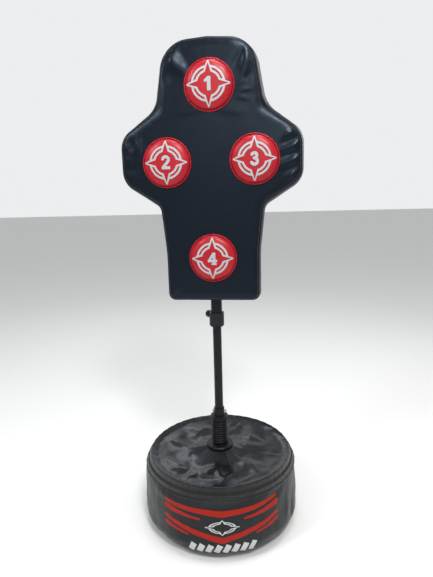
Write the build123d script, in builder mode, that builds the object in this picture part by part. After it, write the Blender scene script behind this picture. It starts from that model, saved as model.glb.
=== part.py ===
"""Body opponent mannequin: a padded torso on a sprung telescopic pole over a filled round bag.

Millimetres, +Z up, front towards -Y, origin at the middle of the bag's underside.
"""

from build123d import *
import os
from math import cos, radians, sin

os.makedirs("parts", exist_ok=True)


def save(part, name):
    """Label a finished piece and write it as its own node."""
    part.label = name
    export_step(part, f"parts/{name}.step")


# ---------------------------------------------------------------- driving dimensions

# weight bag: outer profile as radius and height, tucked in under its fullest height
BAG_FOOT_RADIUS = 184
BAG_BULGE = (230, 56)
BAG_SHOULDER = (224.5, 185)
BAG_RIM = (209, 214)
BAG_CENTRE_HEIGHT = 220
BAG_SKIN = 2
BAG_FLOOR = 2
TAPE = 1.2
HINGE_ANGLE = 50
COIL_WIDTH, COIL_PROUD = 6.0, 2.6

# steel foot inside the bag
PLATE_RADIUS, PLATE_THICKNESS = 170, 5
RISER_RADIUS, RISER_WALL = 30, 3
RISER_TOP_PLATE = 6
RIB_COUNT, RIB_REACH, RIB_TOE, RIB_THICKNESS = 4, 70, 8, 5
BOLT_GAP = 0.5

# spring
SEAT_RADIUS, SEAT_THICKNESS = 40, 8
SPRING_LENGTH = 82
SPRING_WIRE = 6.5
SPRING_MEAN_RADIUS = 21
SPRING_TURNS = 10
PLUG_RADIUS, PLUG_LENGTH = 17.4, 20
SPRING_END_GAP = 0.15
SEAT_CHAMFER = 2
ANCHOR_RADIUS, ANCHOR_HEAD, ANCHOR_END = 6, 8, 4
NUT_HEIGHT, NUT_ACROSS = 10, 19
HEAD_RECESS_RADIUS, HEAD_RECESS_FLOOR = 12, 8

# pole
LOWER_TUBE_RADIUS, LOWER_TUBE_BORE = 12.5, 11
LOWER_TUBE_TOP = 1005
SOCKET_RADIUS, SOCKET_LENGTH = 15.5, 25
SOCKET_BOLT_RADIUS, SOCKET_BOLT_HALF, SOCKET_BOLT_RISE = 3, 22, 13
SMALL_HEX, SOCKET_BOLT_HEAD, SOCKET_NUT = 5, 4, 5
CAP_FLANGE_RADIUS, CAP_FLANGE = 26, 8
HOLE_RADIUS, HOLE_PITCH, FIRST_HOLE, HOLE_COUNT = 2.5, 68, 376, 9
HOLE_TURN = 17.5
UPPER_TUBE_RADIUS, UPPER_TUBE_BORE = 16, 14.5
UPPER_TUBE_TOP = 1290
UPPER_CAP = 3
GLIDE_LENGTH, GLIDE_SPIGOT = 12, 15
RUNNING_GAP = 0.1

# collar and clamp screw
COLLAR_BOTTOM, COLLAR_TOP = 597, 639
COLLAR_RADIUS = 21.3
COLLAR_LIP, COLLAR_MOUTH_GAP = 3, 0.7
COLLAR_CHAMFER, COLLAR_ROUND = (4, 3), 1
BUSH_TOP, BUSH_FLANGE, BUSH_PLAY = 620, 3, 0.3
KNOB_HEIGHT = 629
KNOB_TURN = 127.5
KNOB_RADIUS, KNOB_START, KNOB_LENGTH = 10.5, 23.8, 13
KNOB_LOBES, LOBE_RADIUS, LOBE_OUT, KNOB_ROUND, KNOB_CAP = 8, 2.4, 1.2, 0.8, 3
SCREW_RADIUS, SCREW_GAP = 4, 0.08
TIP_START, TIP_END, TIP_RADIUS = 12.65, 15.0, 3.4

# pad
PAD_FRONT, PAD_BACK = -58, 32
PAD_BOTTOM, PAD_TOP = 682, 1367
COVER = 1.5
COVER_LIP = 4
COVER_EDGE = 3.9
FOAM_EDGE = 2.5
BOARD_FRONT, BOARD_BACK = -26, -16
BOARD_INSET = 18
CHANNEL_HALF_WIDTH, CHANNEL_BACK, CHANNEL_TOP = 40, 22, 1308
POLE_ENTRY_RADIUS = 17

# half outline of the pad, bottom to crown, with the radius of each corner
PAD_CROWN = 8
PAD_CORNERS = [
    ((130, PAD_BOTTOM), 22),
    ((130, 820), 400),
    ((143, 941), 20),
    ((244, 1006), 50),
    ((244, 1128), 50),
    ((147.5, 1200.4), 60),
    ((119, PAD_TOP - PAD_CROWN), 82),
]

# saddles that hold the upper tube on the board
SADDLE_HEIGHTS = (760, 1010, 1250)
SADDLE_STRAP, SADDLE_WIDTH, SADDLE_HALF = 2.5, 22, 36
SADDLE_BOLT_X, SADDLE_BOLT_RADIUS = 27, 3
BOLT_HEAD_RADIUS, BOLT_HEAD = 7, 3
SADDLE_NUT = 5
HEAD_ROOM = 1.5

# targets: centre x and z
TARGETS = {1: (3, 1245.5), 2: (-114, 1057.5), 3: (117, 1060), 4: (2, 804)}
TARGET_FOAM_RADIUS, TARGET_FOAM_DEPTH = 60, 16
TARGET_SKIN = 1.3
TARGET_EDGE = 9
WELT = 3.5
WELT_RADIUS, WELT_ROUND = 63.2, 1.2


# ---------------------------------------------------------------- weight bag

foot = (BAG_FOOT_RADIUS, BAG_FLOOR)
foot_inside = (BAG_FOOT_RADIUS, BAG_FLOOR + BAG_SKIN)
UPWARD, DOWNWARD = (0, 1), (0, -1)
tape_run = Vector(*BAG_RIM) - Vector(*BAG_SHOULDER)
tape_out = Vector(tape_run.Y, -tape_run.X).normalized()
tape_middle = (Vector(*BAG_RIM) + Vector(*BAG_SHOULDER)) / 2
riser_gap = RISER_RADIUS + 1


def moved(point, dx, dy):
    """A profile point moved in radius and height."""
    return (point[0] + dx, point[1] + dy)


# the wall's inner face: its top edge is square to the zip tape
shoulder_inside = moved(BAG_SHOULDER, -BAG_SKIN, -BAG_SKIN * tape_out.Y / tape_out.X)
bulge_inside = moved(BAG_BULGE, -BAG_SKIN, 0)
lid_edge = (BAG_RIM[0] - TAPE * tape_out.X, BAG_RIM[1] - TAPE * tape_out.Y)

with BuildPart() as bag_bottom:
    with BuildSketch():
        Circle(BAG_FOOT_RADIUS)
    extrude(amount=BAG_FLOOR)
save(bag_bottom.part, "bag_bottom")

with BuildPart() as bag_side_wall:
    with BuildSketch(Plane.XZ):
        with BuildLine():
            TangentArc(BAG_BULGE, foot, tangent=DOWNWARD)
            TangentArc(BAG_BULGE, BAG_SHOULDER, tangent=UPWARD)
            Line(BAG_SHOULDER, shoulder_inside)
            TangentArc(bulge_inside, shoulder_inside, tangent=UPWARD)
            TangentArc(bulge_inside, foot_inside, tangent=DOWNWARD)
            Line(foot_inside, foot)
        make_face()
    revolve(axis=Axis.Z)
save(bag_side_wall.part, "bag_side_wall")


def band(start, end, thickness, sweep_angle):
    """A strip of the bag's shoulder between two points, revolved and left open at the back."""
    inward = tape_out * -thickness
    with BuildPart() as strip:
        with BuildSketch(Plane.XZ):
            with BuildLine():
                Polyline(
                    (start.X, start.Y),
                    (end.X, end.Y),
                    (end.X + inward.X, end.Y + inward.Y),
                    (start.X + inward.X, start.Y + inward.Y),
                    close=True,
                )
            make_face()
        revolve(axis=Axis.Z, revolution_arc=sweep_angle)
    return strip.part


zip_angle = 360 - HINGE_ANGLE
zip_start = 90 + HINGE_ANGLE / 2
shoulder_point, rim_point = Vector(*BAG_SHOULDER), Vector(*BAG_RIM)
for name, start, end in (
    ("zip_tape_outer", shoulder_point, tape_middle),
    ("zip_tape_inner", tape_middle, rim_point),
):
    tape = band(start, end, TAPE, zip_angle)
    save(tape.rotate(Axis.Z, zip_start), name)

hinge_strip = band(shoulder_point, rim_point, TAPE, HINGE_ANGLE)
save(hinge_strip.rotate(Axis.Z, 90 - HINGE_ANGLE / 2), "lid_hinge")

coil_middle = tape_middle + tape_out * (COIL_PROUD / 2)
coil_tilt = -Vector(0, 1).get_signed_angle(tape_run, Vector(0, 0, -1))
STOP = 3
stop_angle = 2
with BuildPart() as zip_coil:
    with BuildSketch(Plane.XZ):
        with Locations(Location((coil_middle.X, coil_middle.Y), coil_tilt)):
            RectangleRounded(COIL_PROUD, COIL_WIDTH, 1)
    revolve(axis=Axis.Z, revolution_arc=zip_angle - 2 * stop_angle)
save(zip_coil.part.rotate(Axis.Z, zip_start + stop_angle), "zip_coil")


def shoulder_plane(angle, proud):
    """A plane on the shoulder band: x along the zip, y up the band, z straight out of it."""
    turn = radians(angle)
    spot = tape_middle + tape_out * proud
    outward = Vector(tape_out.X * cos(turn), tape_out.X * sin(turn), tape_out.Y)
    along = Vector(-sin(turn), cos(turn), 0)
    return Plane(
        origin=(spot.X * cos(turn), spot.X * sin(turn), spot.Y), x_dir=along, z_dir=outward
    )


with BuildPart() as zip_stops:
    for angle in (zip_start + 1, zip_start + zip_angle - 1):
        with BuildSketch(shoulder_plane(angle, 0.05)):
            Rectangle(STOP, COIL_WIDTH + 1)
        extrude(amount=COIL_PROUD)
save(zip_stops.part, "zip_stops")

with BuildPart() as bag_lid:
    with BuildSketch(Plane.XZ):
        with BuildLine():
            Polyline(
                (riser_gap, BAG_CENTRE_HEIGHT),
                lid_edge,
                moved(lid_edge, 0, -BAG_SKIN),
                (riser_gap, BAG_CENTRE_HEIGHT - BAG_SKIN),
                close=True,
            )
        make_face()
    revolve(axis=Axis.Z)
save(bag_lid.part, "bag_lid")

with BuildPart() as bag_fill:
    with BuildSketch(Plane.XZ):
        with BuildLine():
            Polyline(
                shoulder_inside,
                moved(lid_edge, 0, -BAG_SKIN - 0.1),
                (riser_gap, BAG_CENTRE_HEIGHT - BAG_SKIN - 0.1),
                (riser_gap, BAG_FLOOR + PLATE_THICKNESS),
                (PLATE_RADIUS + 1, BAG_FLOOR + PLATE_THICKNESS),
                (PLATE_RADIUS + 1, BAG_FLOOR),
                foot,
                foot_inside,
            )
            TangentArc(bulge_inside, shoulder_inside, tangent=UPWARD)
            TangentArc(bulge_inside, foot_inside, tangent=DOWNWARD)
        make_face()
    revolve(axis=Axis.Z)
    with BuildSketch(Plane.XY.offset(BAG_FLOOR + PLATE_THICKNESS)):
        with PolarLocations(0, RIB_COUNT):
            with Locations((RISER_RADIUS + RIB_REACH / 2, 0)):
                Rectangle(RIB_REACH + 2, RIB_THICKNESS + 1)
    extrude(amount=RIB_REACH + 1, mode=Mode.SUBTRACT)
save(bag_fill.part, "bag_fill")

# ---------------------------------------------------------------- steel foot

plate_top = BAG_FLOOR + PLATE_THICKNESS
with BuildPart() as base_plate:
    with BuildSketch(Plane.XY.offset(BAG_FLOOR)):
        Circle(PLATE_RADIUS)
    extrude(amount=PLATE_THICKNESS)
save(base_plate.part, "base_plate")

with BuildPart() as riser_tube:
    with BuildSketch(Plane.XY.offset(plate_top)):
        Circle(RISER_RADIUS)
        Circle(RISER_RADIUS - RISER_WALL, mode=Mode.SUBTRACT)
    extrude(amount=BAG_CENTRE_HEIGHT - plate_top)
save(riser_tube.part, "riser_tube")

with BuildPart() as riser_ribs:
    for turn in range(RIB_COUNT):
        rib_plane = Plane.XZ.rotated((0, 0, turn * 360 / RIB_COUNT))
        with BuildSketch(rib_plane.offset(-RIB_THICKNESS / 2)):
            with BuildLine():
                Polyline(
                    (RISER_RADIUS, plate_top),
                    (RISER_RADIUS + RIB_REACH, plate_top),
                    (RISER_RADIUS + RIB_REACH, plate_top + RIB_TOE),
                    (RISER_RADIUS, plate_top + RIB_REACH),
                    close=True,
                )
            make_face()
        extrude(amount=RIB_THICKNESS)
save(riser_ribs.part, "riser_ribs")

top_plate_under = BAG_CENTRE_HEIGHT - RISER_TOP_PLATE
with BuildPart() as riser_top_plate:
    with BuildSketch(Plane.XY.offset(top_plate_under)):
        Circle(RISER_RADIUS - RISER_WALL)
        Circle(ANCHOR_RADIUS + BOLT_GAP, mode=Mode.SUBTRACT)
    extrude(amount=RISER_TOP_PLATE)
save(riser_top_plate.part, "riser_top_plate")

seat_top = BAG_CENTRE_HEIGHT + SEAT_THICKNESS
head_seat = seat_top + HEAD_RECESS_FLOOR
with BuildPart() as lower_spring_seat:
    with BuildSketch(Plane.XY.offset(BAG_CENTRE_HEIGHT)):
        Circle(SEAT_RADIUS)
    extrude(amount=SEAT_THICKNESS)
    chamfer(lower_spring_seat.faces().sort_by(Axis.Z)[-1].edges(), SEAT_CHAMFER)
    with BuildSketch(Plane.XY.offset(seat_top)):
        Circle(PLUG_RADIUS)
    extrude(amount=PLUG_LENGTH)
    with BuildSketch(Plane.XY.offset(BAG_CENTRE_HEIGHT)):
        Circle(ANCHOR_RADIUS + BOLT_GAP)
    extrude(amount=SEAT_THICKNESS + PLUG_LENGTH, mode=Mode.SUBTRACT)
    with BuildSketch(Plane.XY.offset(head_seat)):
        Circle(HEAD_RECESS_RADIUS)
    extrude(amount=PLUG_LENGTH, mode=Mode.SUBTRACT)
save(lower_spring_seat.part, "lower_spring_seat")

with BuildPart() as anchor_bolt:
    with BuildSketch(Plane.XY.offset(top_plate_under - NUT_HEIGHT - ANCHOR_END)):
        Circle(ANCHOR_RADIUS)
    extrude(amount=head_seat - top_plate_under + NUT_HEIGHT + ANCHOR_END)
    with BuildSketch(Plane.XY.offset(head_seat)):
        RegularPolygon(NUT_ACROSS / 2, 6, major_radius=False)
    extrude(amount=ANCHOR_HEAD)
save(anchor_bolt.part, "anchor_bolt")

with BuildPart() as anchor_nut:
    with BuildSketch(Plane.XY.offset(top_plate_under - NUT_HEIGHT)):
        RegularPolygon(NUT_ACROSS / 2, 6, major_radius=False)
        Circle(ANCHOR_RADIUS, mode=Mode.SUBTRACT)
    extrude(amount=NUT_HEIGHT)
save(anchor_nut.part, "anchor_nut")

# ---------------------------------------------------------------- spring and lower pole

spring_top = seat_top + SPRING_LENGTH
coil_rise = SPRING_LENGTH - SPRING_WIRE - 2 * SPRING_END_GAP
with BuildPart() as coil_spring:
    with BuildLine():
        turns = Helix(
            pitch=coil_rise / SPRING_TURNS,
            height=coil_rise,
            radius=SPRING_MEAN_RADIUS,
            center=(0, 0, seat_top + SPRING_WIRE / 2 + SPRING_END_GAP),
        )
    with BuildSketch(Plane(origin=turns @ 0, z_dir=turns % 0)):
        Circle(SPRING_WIRE / 2)
    sweep(is_frenet=True)
save(coil_spring.part, "coil_spring")

socket_floor = spring_top + CAP_FLANGE
socket_bolt_height = socket_floor + SOCKET_BOLT_RISE
bolt_plane = Plane(origin=(0, 0, socket_bolt_height), z_dir=(1, 0, 0))
with BuildPart() as pole_socket:
    with BuildSketch(Plane.XY.offset(spring_top - PLUG_LENGTH)):
        Circle(PLUG_RADIUS)
    extrude(amount=PLUG_LENGTH)
    with BuildSketch(Plane.XY.offset(spring_top)):
        Circle(CAP_FLANGE_RADIUS)
    extrude(amount=CAP_FLANGE)
    with BuildSketch(Plane.XY.offset(socket_floor)):
        Circle(SOCKET_RADIUS)
        Circle(LOWER_TUBE_RADIUS, mode=Mode.SUBTRACT)
    extrude(amount=SOCKET_LENGTH)
    with BuildSketch(bolt_plane):
        Circle(SOCKET_BOLT_RADIUS)
    extrude(amount=2 * SOCKET_RADIUS, both=True, mode=Mode.SUBTRACT)
save(pole_socket.part, "pole_socket")

with BuildPart() as socket_bolt:
    with BuildSketch(bolt_plane.offset(-SOCKET_RADIUS)):
        Circle(SOCKET_BOLT_RADIUS)
    extrude(amount=SOCKET_RADIUS + SOCKET_BOLT_HALF)
    with BuildSketch(bolt_plane.offset(-SOCKET_RADIUS - SOCKET_BOLT_HEAD)):
        RegularPolygon(SMALL_HEX, 6, major_radius=False)
    extrude(amount=SOCKET_BOLT_HEAD)
save(socket_bolt.part, "socket_bolt")

with BuildPart() as socket_nut:
    with BuildSketch(bolt_plane.offset(SOCKET_RADIUS)):
        RegularPolygon(SMALL_HEX, 6, major_radius=False)
        Circle(SOCKET_BOLT_RADIUS, mode=Mode.SUBTRACT)
    extrude(amount=SOCKET_NUT)
save(socket_nut.part, "socket_nut")

hole_direction = (-sin(radians(HOLE_TURN)), -cos(radians(HOLE_TURN)), 0)
with BuildPart() as lower_tube:
    with BuildSketch(Plane.XY.offset(socket_floor)):
        Circle(LOWER_TUBE_RADIUS)
        Circle(LOWER_TUBE_BORE, mode=Mode.SUBTRACT)
    extrude(amount=LOWER_TUBE_TOP - socket_floor)
    for hole in range(HOLE_COUNT):
        hole_height = FIRST_HOLE + hole * HOLE_PITCH
        with BuildSketch(Plane(origin=(0, 0, hole_height), z_dir=hole_direction)):
            Circle(HOLE_RADIUS)
        extrude(amount=2 * LOWER_TUBE_RADIUS, mode=Mode.SUBTRACT)
    with BuildSketch(bolt_plane):
        Circle(SOCKET_BOLT_RADIUS)
    extrude(amount=2 * SOCKET_RADIUS, both=True, mode=Mode.SUBTRACT)
save(lower_tube.part, "lower_tube")

with BuildPart() as lower_tube_cap:
    with BuildSketch(Plane.XY.offset(LOWER_TUBE_TOP)):
        Circle(UPPER_TUBE_BORE - RUNNING_GAP)
    extrude(amount=GLIDE_LENGTH)
    with BuildSketch(Plane.XY.offset(LOWER_TUBE_TOP - GLIDE_SPIGOT)):
        Circle(LOWER_TUBE_BORE)
    extrude(amount=GLIDE_SPIGOT)
save(lower_tube_cap.part, "lower_tube_cap")

# ---------------------------------------------------------------- sliding upper pole

bush_flange_bottom = COLLAR_BOTTOM + COLLAR_LIP + BUSH_PLAY
upper_tube_bottom = bush_flange_bottom + BUSH_FLANGE
with BuildPart() as height_bush:
    with BuildSketch(Plane.XY.offset(bush_flange_bottom)):
        Circle(UPPER_TUBE_RADIUS - BUSH_PLAY)
    extrude(amount=BUSH_FLANGE - RUNNING_GAP)
    with BuildSketch(Plane.XY.offset(bush_flange_bottom)):
        Circle(UPPER_TUBE_BORE - RUNNING_GAP)
    extrude(amount=BUSH_TOP - bush_flange_bottom)
    with BuildSketch(Plane.XY.offset(bush_flange_bottom)):
        Circle(LOWER_TUBE_RADIUS + RUNNING_GAP)
    extrude(amount=BUSH_TOP, mode=Mode.SUBTRACT)
save(height_bush.part, "height_bush")

knob_way = (-sin(radians(KNOB_TURN)), -cos(radians(KNOB_TURN)), 0)


def knob_plane(distance):
    """A plane across the clamp screw at a distance from the pole's axis."""
    return Plane(origin=(0, 0, KNOB_HEIGHT), z_dir=knob_way).offset(distance)


with BuildPart() as upper_tube:
    with BuildSketch(Plane.XY.offset(upper_tube_bottom)):
        Circle(UPPER_TUBE_RADIUS)
        Circle(UPPER_TUBE_BORE, mode=Mode.SUBTRACT)
    extrude(amount=UPPER_TUBE_TOP - upper_tube_bottom)
    with BuildSketch(knob_plane(0)):
        Circle(SCREW_RADIUS + BOLT_GAP)
    extrude(amount=2 * UPPER_TUBE_RADIUS, mode=Mode.SUBTRACT)
save(upper_tube.part, "upper_tube")

with BuildPart() as upper_tube_cap:
    with BuildSketch(Plane.XY.offset(UPPER_TUBE_TOP)):
        Circle(UPPER_TUBE_RADIUS)
    extrude(amount=UPPER_CAP)
    with BuildSketch(Plane.XY.offset(UPPER_TUBE_TOP - GLIDE_SPIGOT)):
        Circle(UPPER_TUBE_BORE)
    extrude(amount=GLIDE_SPIGOT)
save(upper_tube_cap.part, "upper_tube_cap")

with BuildPart() as collar:
    with BuildSketch(Plane.XY.offset(COLLAR_BOTTOM)):
        Circle(COLLAR_RADIUS)
    extrude(amount=COLLAR_TOP - COLLAR_BOTTOM)
    chamfer(collar.faces().sort_by(Axis.Z)[0].edges(), *COLLAR_CHAMFER)
    fillet(collar.faces().sort_by(Axis.Z)[-1].edges(), COLLAR_ROUND)
    with BuildSketch(Plane.XY.offset(COLLAR_BOTTOM)):
        Circle(LOWER_TUBE_RADIUS + COLLAR_MOUTH_GAP)
    extrude(amount=COLLAR_TOP, mode=Mode.SUBTRACT)
    with BuildSketch(Plane.XY.offset(COLLAR_BOTTOM + COLLAR_LIP)):
        Circle(UPPER_TUBE_RADIUS)
    extrude(amount=COLLAR_TOP, mode=Mode.SUBTRACT)
    with BuildSketch(knob_plane(0)):
        Circle(SCREW_RADIUS + SCREW_GAP)
    extrude(amount=2 * COLLAR_RADIUS, mode=Mode.SUBTRACT)
save(collar.part, "collar")

with BuildPart() as clamp_screw_tip:
    with BuildSketch(knob_plane(TIP_START)):
        Circle(TIP_RADIUS)
    extrude(amount=TIP_END - TIP_START)
save(clamp_screw_tip.part, "clamp_screw_tip")

screw_start = TIP_END + RUNNING_GAP
with BuildPart() as clamp_screw:
    with BuildSketch(knob_plane(screw_start)):
        Circle(SCREW_RADIUS)
    extrude(amount=KNOB_START + KNOB_LENGTH - KNOB_CAP - screw_start)
save(clamp_screw.part, "clamp_screw")

with BuildPart() as clamp_knob:
    with BuildSketch(knob_plane(KNOB_START)):
        Circle(KNOB_RADIUS)
        with PolarLocations(KNOB_RADIUS + LOBE_OUT, KNOB_LOBES):
            Circle(LOBE_RADIUS, mode=Mode.SUBTRACT)
    extrude(amount=KNOB_LENGTH)
    knob_axis = Axis(origin=(0, 0, 0), direction=knob_way)
    fillet(clamp_knob.faces().sort_by(knob_axis)[-1].edges(), KNOB_ROUND)
    with BuildSketch(knob_plane(KNOB_START)):
        Circle(SCREW_RADIUS)
    extrude(amount=KNOB_LENGTH - KNOB_CAP, mode=Mode.SUBTRACT)
save(clamp_knob.part, "clamp_knob")

# ---------------------------------------------------------------- zip slider and pull

SLIDER_LENGTH, SLIDER_WIDTH, SLIDER_HEIGHT = 13, 10, 4.6
SLIDER_LIFT, SLIDER_ROUND = 0.4, 1
COIL_GAP, COIL_SIDE_GAP = 0.2, 0.8
EAR_LENGTH, EAR_THICKNESS, EAR_RISE, EAR_SPACING = 4, 1.6, 3.0, 5.6
PIN_RADIUS, PIN_LENGTH = 0.8, 7
EYE_RADIUS, EYE_WIDTH, EYE_GAP = 1.7, 3.4, 0.4
NECK_START, NECK_LENGTH = 1, 10
PULL_START, PULL_LENGTH, PULL_WIDTH, PULL_THICKNESS = 7.5, 21, 7, 1.8
slider_angle = zip_start + 2 * stop_angle + 1
slider_plane = shoulder_plane(slider_angle, SLIDER_LIFT)
pin_height = SLIDER_HEIGHT + EYE_RADIUS + EYE_GAP
pin_place = Location((0, 0, pin_height), (90, 0, 0))
tunnel_height = COIL_PROUD + COIL_GAP

with BuildPart(slider_plane) as zip_slider:
    with Locations((0, 0, SLIDER_HEIGHT / 2)):
        Box(SLIDER_LENGTH, SLIDER_WIDTH, SLIDER_HEIGHT)
    slider_top = zip_slider.faces().sort_by(Axis(origin=(0, 0, 0), direction=slider_plane.z_dir))[-1]
    fillet(slider_top.edges(), SLIDER_ROUND)
    with Locations((0, 0, tunnel_height / 2)):
        Box(SLIDER_LENGTH, COIL_WIDTH + COIL_SIDE_GAP, tunnel_height, mode=Mode.SUBTRACT)
    with GridLocations(0, EAR_SPACING, 1, 2):
        with Locations((0, 0, SLIDER_HEIGHT + EAR_RISE / 2)):
            Box(EAR_LENGTH, EAR_THICKNESS, EAR_RISE)
    with Locations(pin_place):
        Cylinder(PIN_RADIUS, PIN_LENGTH)
save(zip_slider.part, "zip_slider")

with BuildPart(slider_plane) as zip_pull:
    with Locations(pin_place):
        Cylinder(EYE_RADIUS, EYE_WIDTH)
    with Locations((NECK_START + NECK_LENGTH / 2, 0, pin_height)):
        Box(NECK_LENGTH, EYE_WIDTH, PULL_THICKNESS)
    with Locations((PULL_START + PULL_LENGTH / 2, 0, pin_height)):
        Box(PULL_LENGTH, PULL_WIDTH, PULL_THICKNESS)
    with Locations(pin_place):
        Cylinder(PIN_RADIUS + RUNNING_GAP, 2 * EYE_WIDTH, mode=Mode.SUBTRACT)
save(zip_pull.part, "zip_pull")


# ---------------------------------------------------------------- pad


def pad_layer(back, front, inset):
    """The pad's outline as a slab between two depths, pulled in all round by inset."""
    with BuildPart() as slab:
        with BuildSketch(Plane.XZ.offset(-back)):
            with BuildLine():
                corners = [corner for corner, radius in PAD_CORNERS]
                edge = FilletPolyline(
                    (0, PAD_BOTTOM),
                    *corners,
                    (0, PAD_TOP),
                    radius=[radius for corner, radius in PAD_CORNERS],
                )
                mirror(edge, about=Plane.YZ)
            make_face()
            if inset:
                offset(amount=-inset)
        extrude(amount=back - front)
    return slab.part


saddle_bolt_spots = [(side * SADDLE_BOLT_X, height) for height in SADDLE_HEIGHTS for side in (-1, 1)]
front_lip, back_lip = PAD_FRONT + COVER_LIP, PAD_BACK - COVER_LIP

with BuildPart() as pad_front_foam:
    add(pad_layer(BOARD_FRONT, PAD_FRONT + COVER, COVER))
    chamfer(pad_front_foam.faces().sort_by(Axis.Y)[0].edges(), FOAM_EDGE)
    with BuildSketch(Plane.XZ.offset(-BOARD_FRONT)):
        with Locations(*saddle_bolt_spots):
            Circle(BOLT_HEAD_RADIUS + HEAD_ROOM)
    extrude(amount=BOLT_HEAD + HEAD_ROOM, mode=Mode.SUBTRACT)
save(pad_front_foam.part, "pad_front_foam")

with BuildPart() as pad_front_cover:
    add(pad_layer(front_lip, PAD_FRONT, 0))
    chamfer(pad_front_cover.faces().sort_by(Axis.Y)[0].edges(), COVER_EDGE)
    add(pad_front_foam.part, mode=Mode.SUBTRACT)
save(pad_front_cover.part, "pad_front_cover")

with BuildPart() as backing_board:
    add(pad_layer(BOARD_BACK, BOARD_FRONT, BOARD_INSET))
    with BuildSketch(Plane.XZ.offset(-BOARD_BACK)):
        with Locations(*saddle_bolt_spots):
            Circle(SADDLE_BOLT_RADIUS)
    extrude(amount=BOARD_BACK - BOARD_FRONT, mode=Mode.SUBTRACT)
save(backing_board.part, "backing_board")

with BuildPart() as pad_back_foam:
    add(pad_layer(PAD_BACK - COVER, BOARD_FRONT, COVER))
    chamfer(pad_back_foam.faces().sort_by(Axis.Y)[-1].edges(), FOAM_EDGE)
    add(pad_layer(BOARD_BACK, BOARD_FRONT, BOARD_INSET), mode=Mode.SUBTRACT)
    with BuildSketch(Plane.XY.offset(PAD_BOTTOM)):
        with Locations((0, (BOARD_BACK + CHANNEL_BACK) / 2)):
            Rectangle(2 * CHANNEL_HALF_WIDTH, CHANNEL_BACK - BOARD_BACK)
    extrude(amount=CHANNEL_TOP - PAD_BOTTOM, mode=Mode.SUBTRACT)
save(pad_back_foam.part, "pad_back_foam")

with BuildPart() as pad_back_cover:
    add(pad_layer(PAD_BACK, back_lip, 0))
    chamfer(pad_back_cover.faces().sort_by(Axis.Y)[-1].edges(), COVER_EDGE)
    add(pad_back_foam.part, mode=Mode.SUBTRACT)
save(pad_back_cover.part, "pad_back_cover")

with BuildPart() as pad_side_gusset:
    add(pad_layer(back_lip, front_lip, 0))
    add(pad_layer(back_lip, front_lip, COVER), mode=Mode.SUBTRACT)
    with BuildSketch(Plane.XY.offset(PAD_BOTTOM - 1)):
        Circle(POLE_ENTRY_RADIUS)
    extrude(amount=COVER + 2, mode=Mode.SUBTRACT)
save(pad_side_gusset.part, "pad_side_gusset")

# saddles, bolts and nuts
saddle_outer = UPPER_TUBE_RADIUS + SADDLE_STRAP
with BuildPart() as tube_saddles:
    for height in SADDLE_HEIGHTS:
        with BuildSketch(Plane.XY.offset(height - SADDLE_WIDTH / 2)):
            Circle(saddle_outer)
            with Locations((0, BOARD_BACK / 2)):
                Rectangle(2 * saddle_outer, -BOARD_BACK)
            with Locations((0, BOARD_BACK + SADDLE_STRAP / 2)):
                Rectangle(2 * SADDLE_HALF, SADDLE_STRAP)
            with Locations((0, BOARD_BACK - saddle_outer)):
                Rectangle(2 * SADDLE_HALF, 2 * saddle_outer, mode=Mode.SUBTRACT)
            Circle(UPPER_TUBE_RADIUS, mode=Mode.SUBTRACT)
            with Locations((0, BOARD_BACK / 2)):
                Rectangle(2 * UPPER_TUBE_RADIUS, -BOARD_BACK, mode=Mode.SUBTRACT)
        extrude(amount=SADDLE_WIDTH)
    with BuildSketch(Plane.XZ.offset(-BOARD_BACK)):
        with Locations(*saddle_bolt_spots):
            Circle(SADDLE_BOLT_RADIUS)
    extrude(amount=-SADDLE_STRAP, mode=Mode.SUBTRACT)
save(tube_saddles.part, "tube_saddles")

nut_front = BOARD_BACK + SADDLE_STRAP
with BuildPart() as saddle_bolts:
    with BuildSketch(Plane.XZ.offset(-BOARD_FRONT)):
        with Locations(*saddle_bolt_spots):
            Circle(BOLT_HEAD_RADIUS)
    extrude(amount=BOLT_HEAD)
    with BuildSketch(Plane.XZ.offset(-BOARD_FRONT)):
        with Locations(*saddle_bolt_spots):
            Circle(SADDLE_BOLT_RADIUS)
    extrude(amount=-(nut_front + SADDLE_NUT + 1 - BOARD_FRONT))
save(saddle_bolts.part, "saddle_bolts")

with BuildPart() as saddle_nuts:
    with BuildSketch(Plane.XZ.offset(-nut_front)):
        with Locations(*saddle_bolt_spots):
            RegularPolygon(SMALL_HEX, 6, major_radius=False)
            Circle(SADDLE_BOLT_RADIUS, mode=Mode.SUBTRACT)
    extrude(amount=-SADDLE_NUT)
save(saddle_nuts.part, "saddle_nuts")

# ---------------------------------------------------------------- targets

for number, (x, z) in TARGETS.items():
    face = Plane(origin=(x, PAD_FRONT, z), x_dir=(1, 0, 0), z_dir=(0, -1, 0))
    with BuildPart() as target_foam:
        with BuildSketch(face):
            Circle(TARGET_FOAM_RADIUS)
        extrude(amount=TARGET_FOAM_DEPTH)
        fillet(target_foam.faces().sort_by(Axis.Y)[0].edges(), TARGET_EDGE)
    save(target_foam.part, f"target_{number}_foam")

    with BuildPart() as target_cover:
        with BuildSketch(face):
            Circle(TARGET_FOAM_RADIUS + TARGET_SKIN)
        extrude(amount=TARGET_FOAM_DEPTH + TARGET_SKIN)
        fillet(target_cover.faces().sort_by(Axis.Y)[0].edges(), TARGET_EDGE + TARGET_SKIN)
        add(target_foam.part, mode=Mode.SUBTRACT)
    save(target_cover.part, f"target_{number}_cover")

    with BuildPart() as target_welt:
        with BuildSketch(face):
            Circle(WELT_RADIUS + WELT / 2)
            Circle(WELT_RADIUS - WELT / 2, mode=Mode.SUBTRACT)
        extrude(amount=WELT)
        fillet(target_welt.faces().sort_by(Axis.Y)[0].edges(), WELT_ROUND)
    save(target_welt.part, f"target_{number}_welt")
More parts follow.
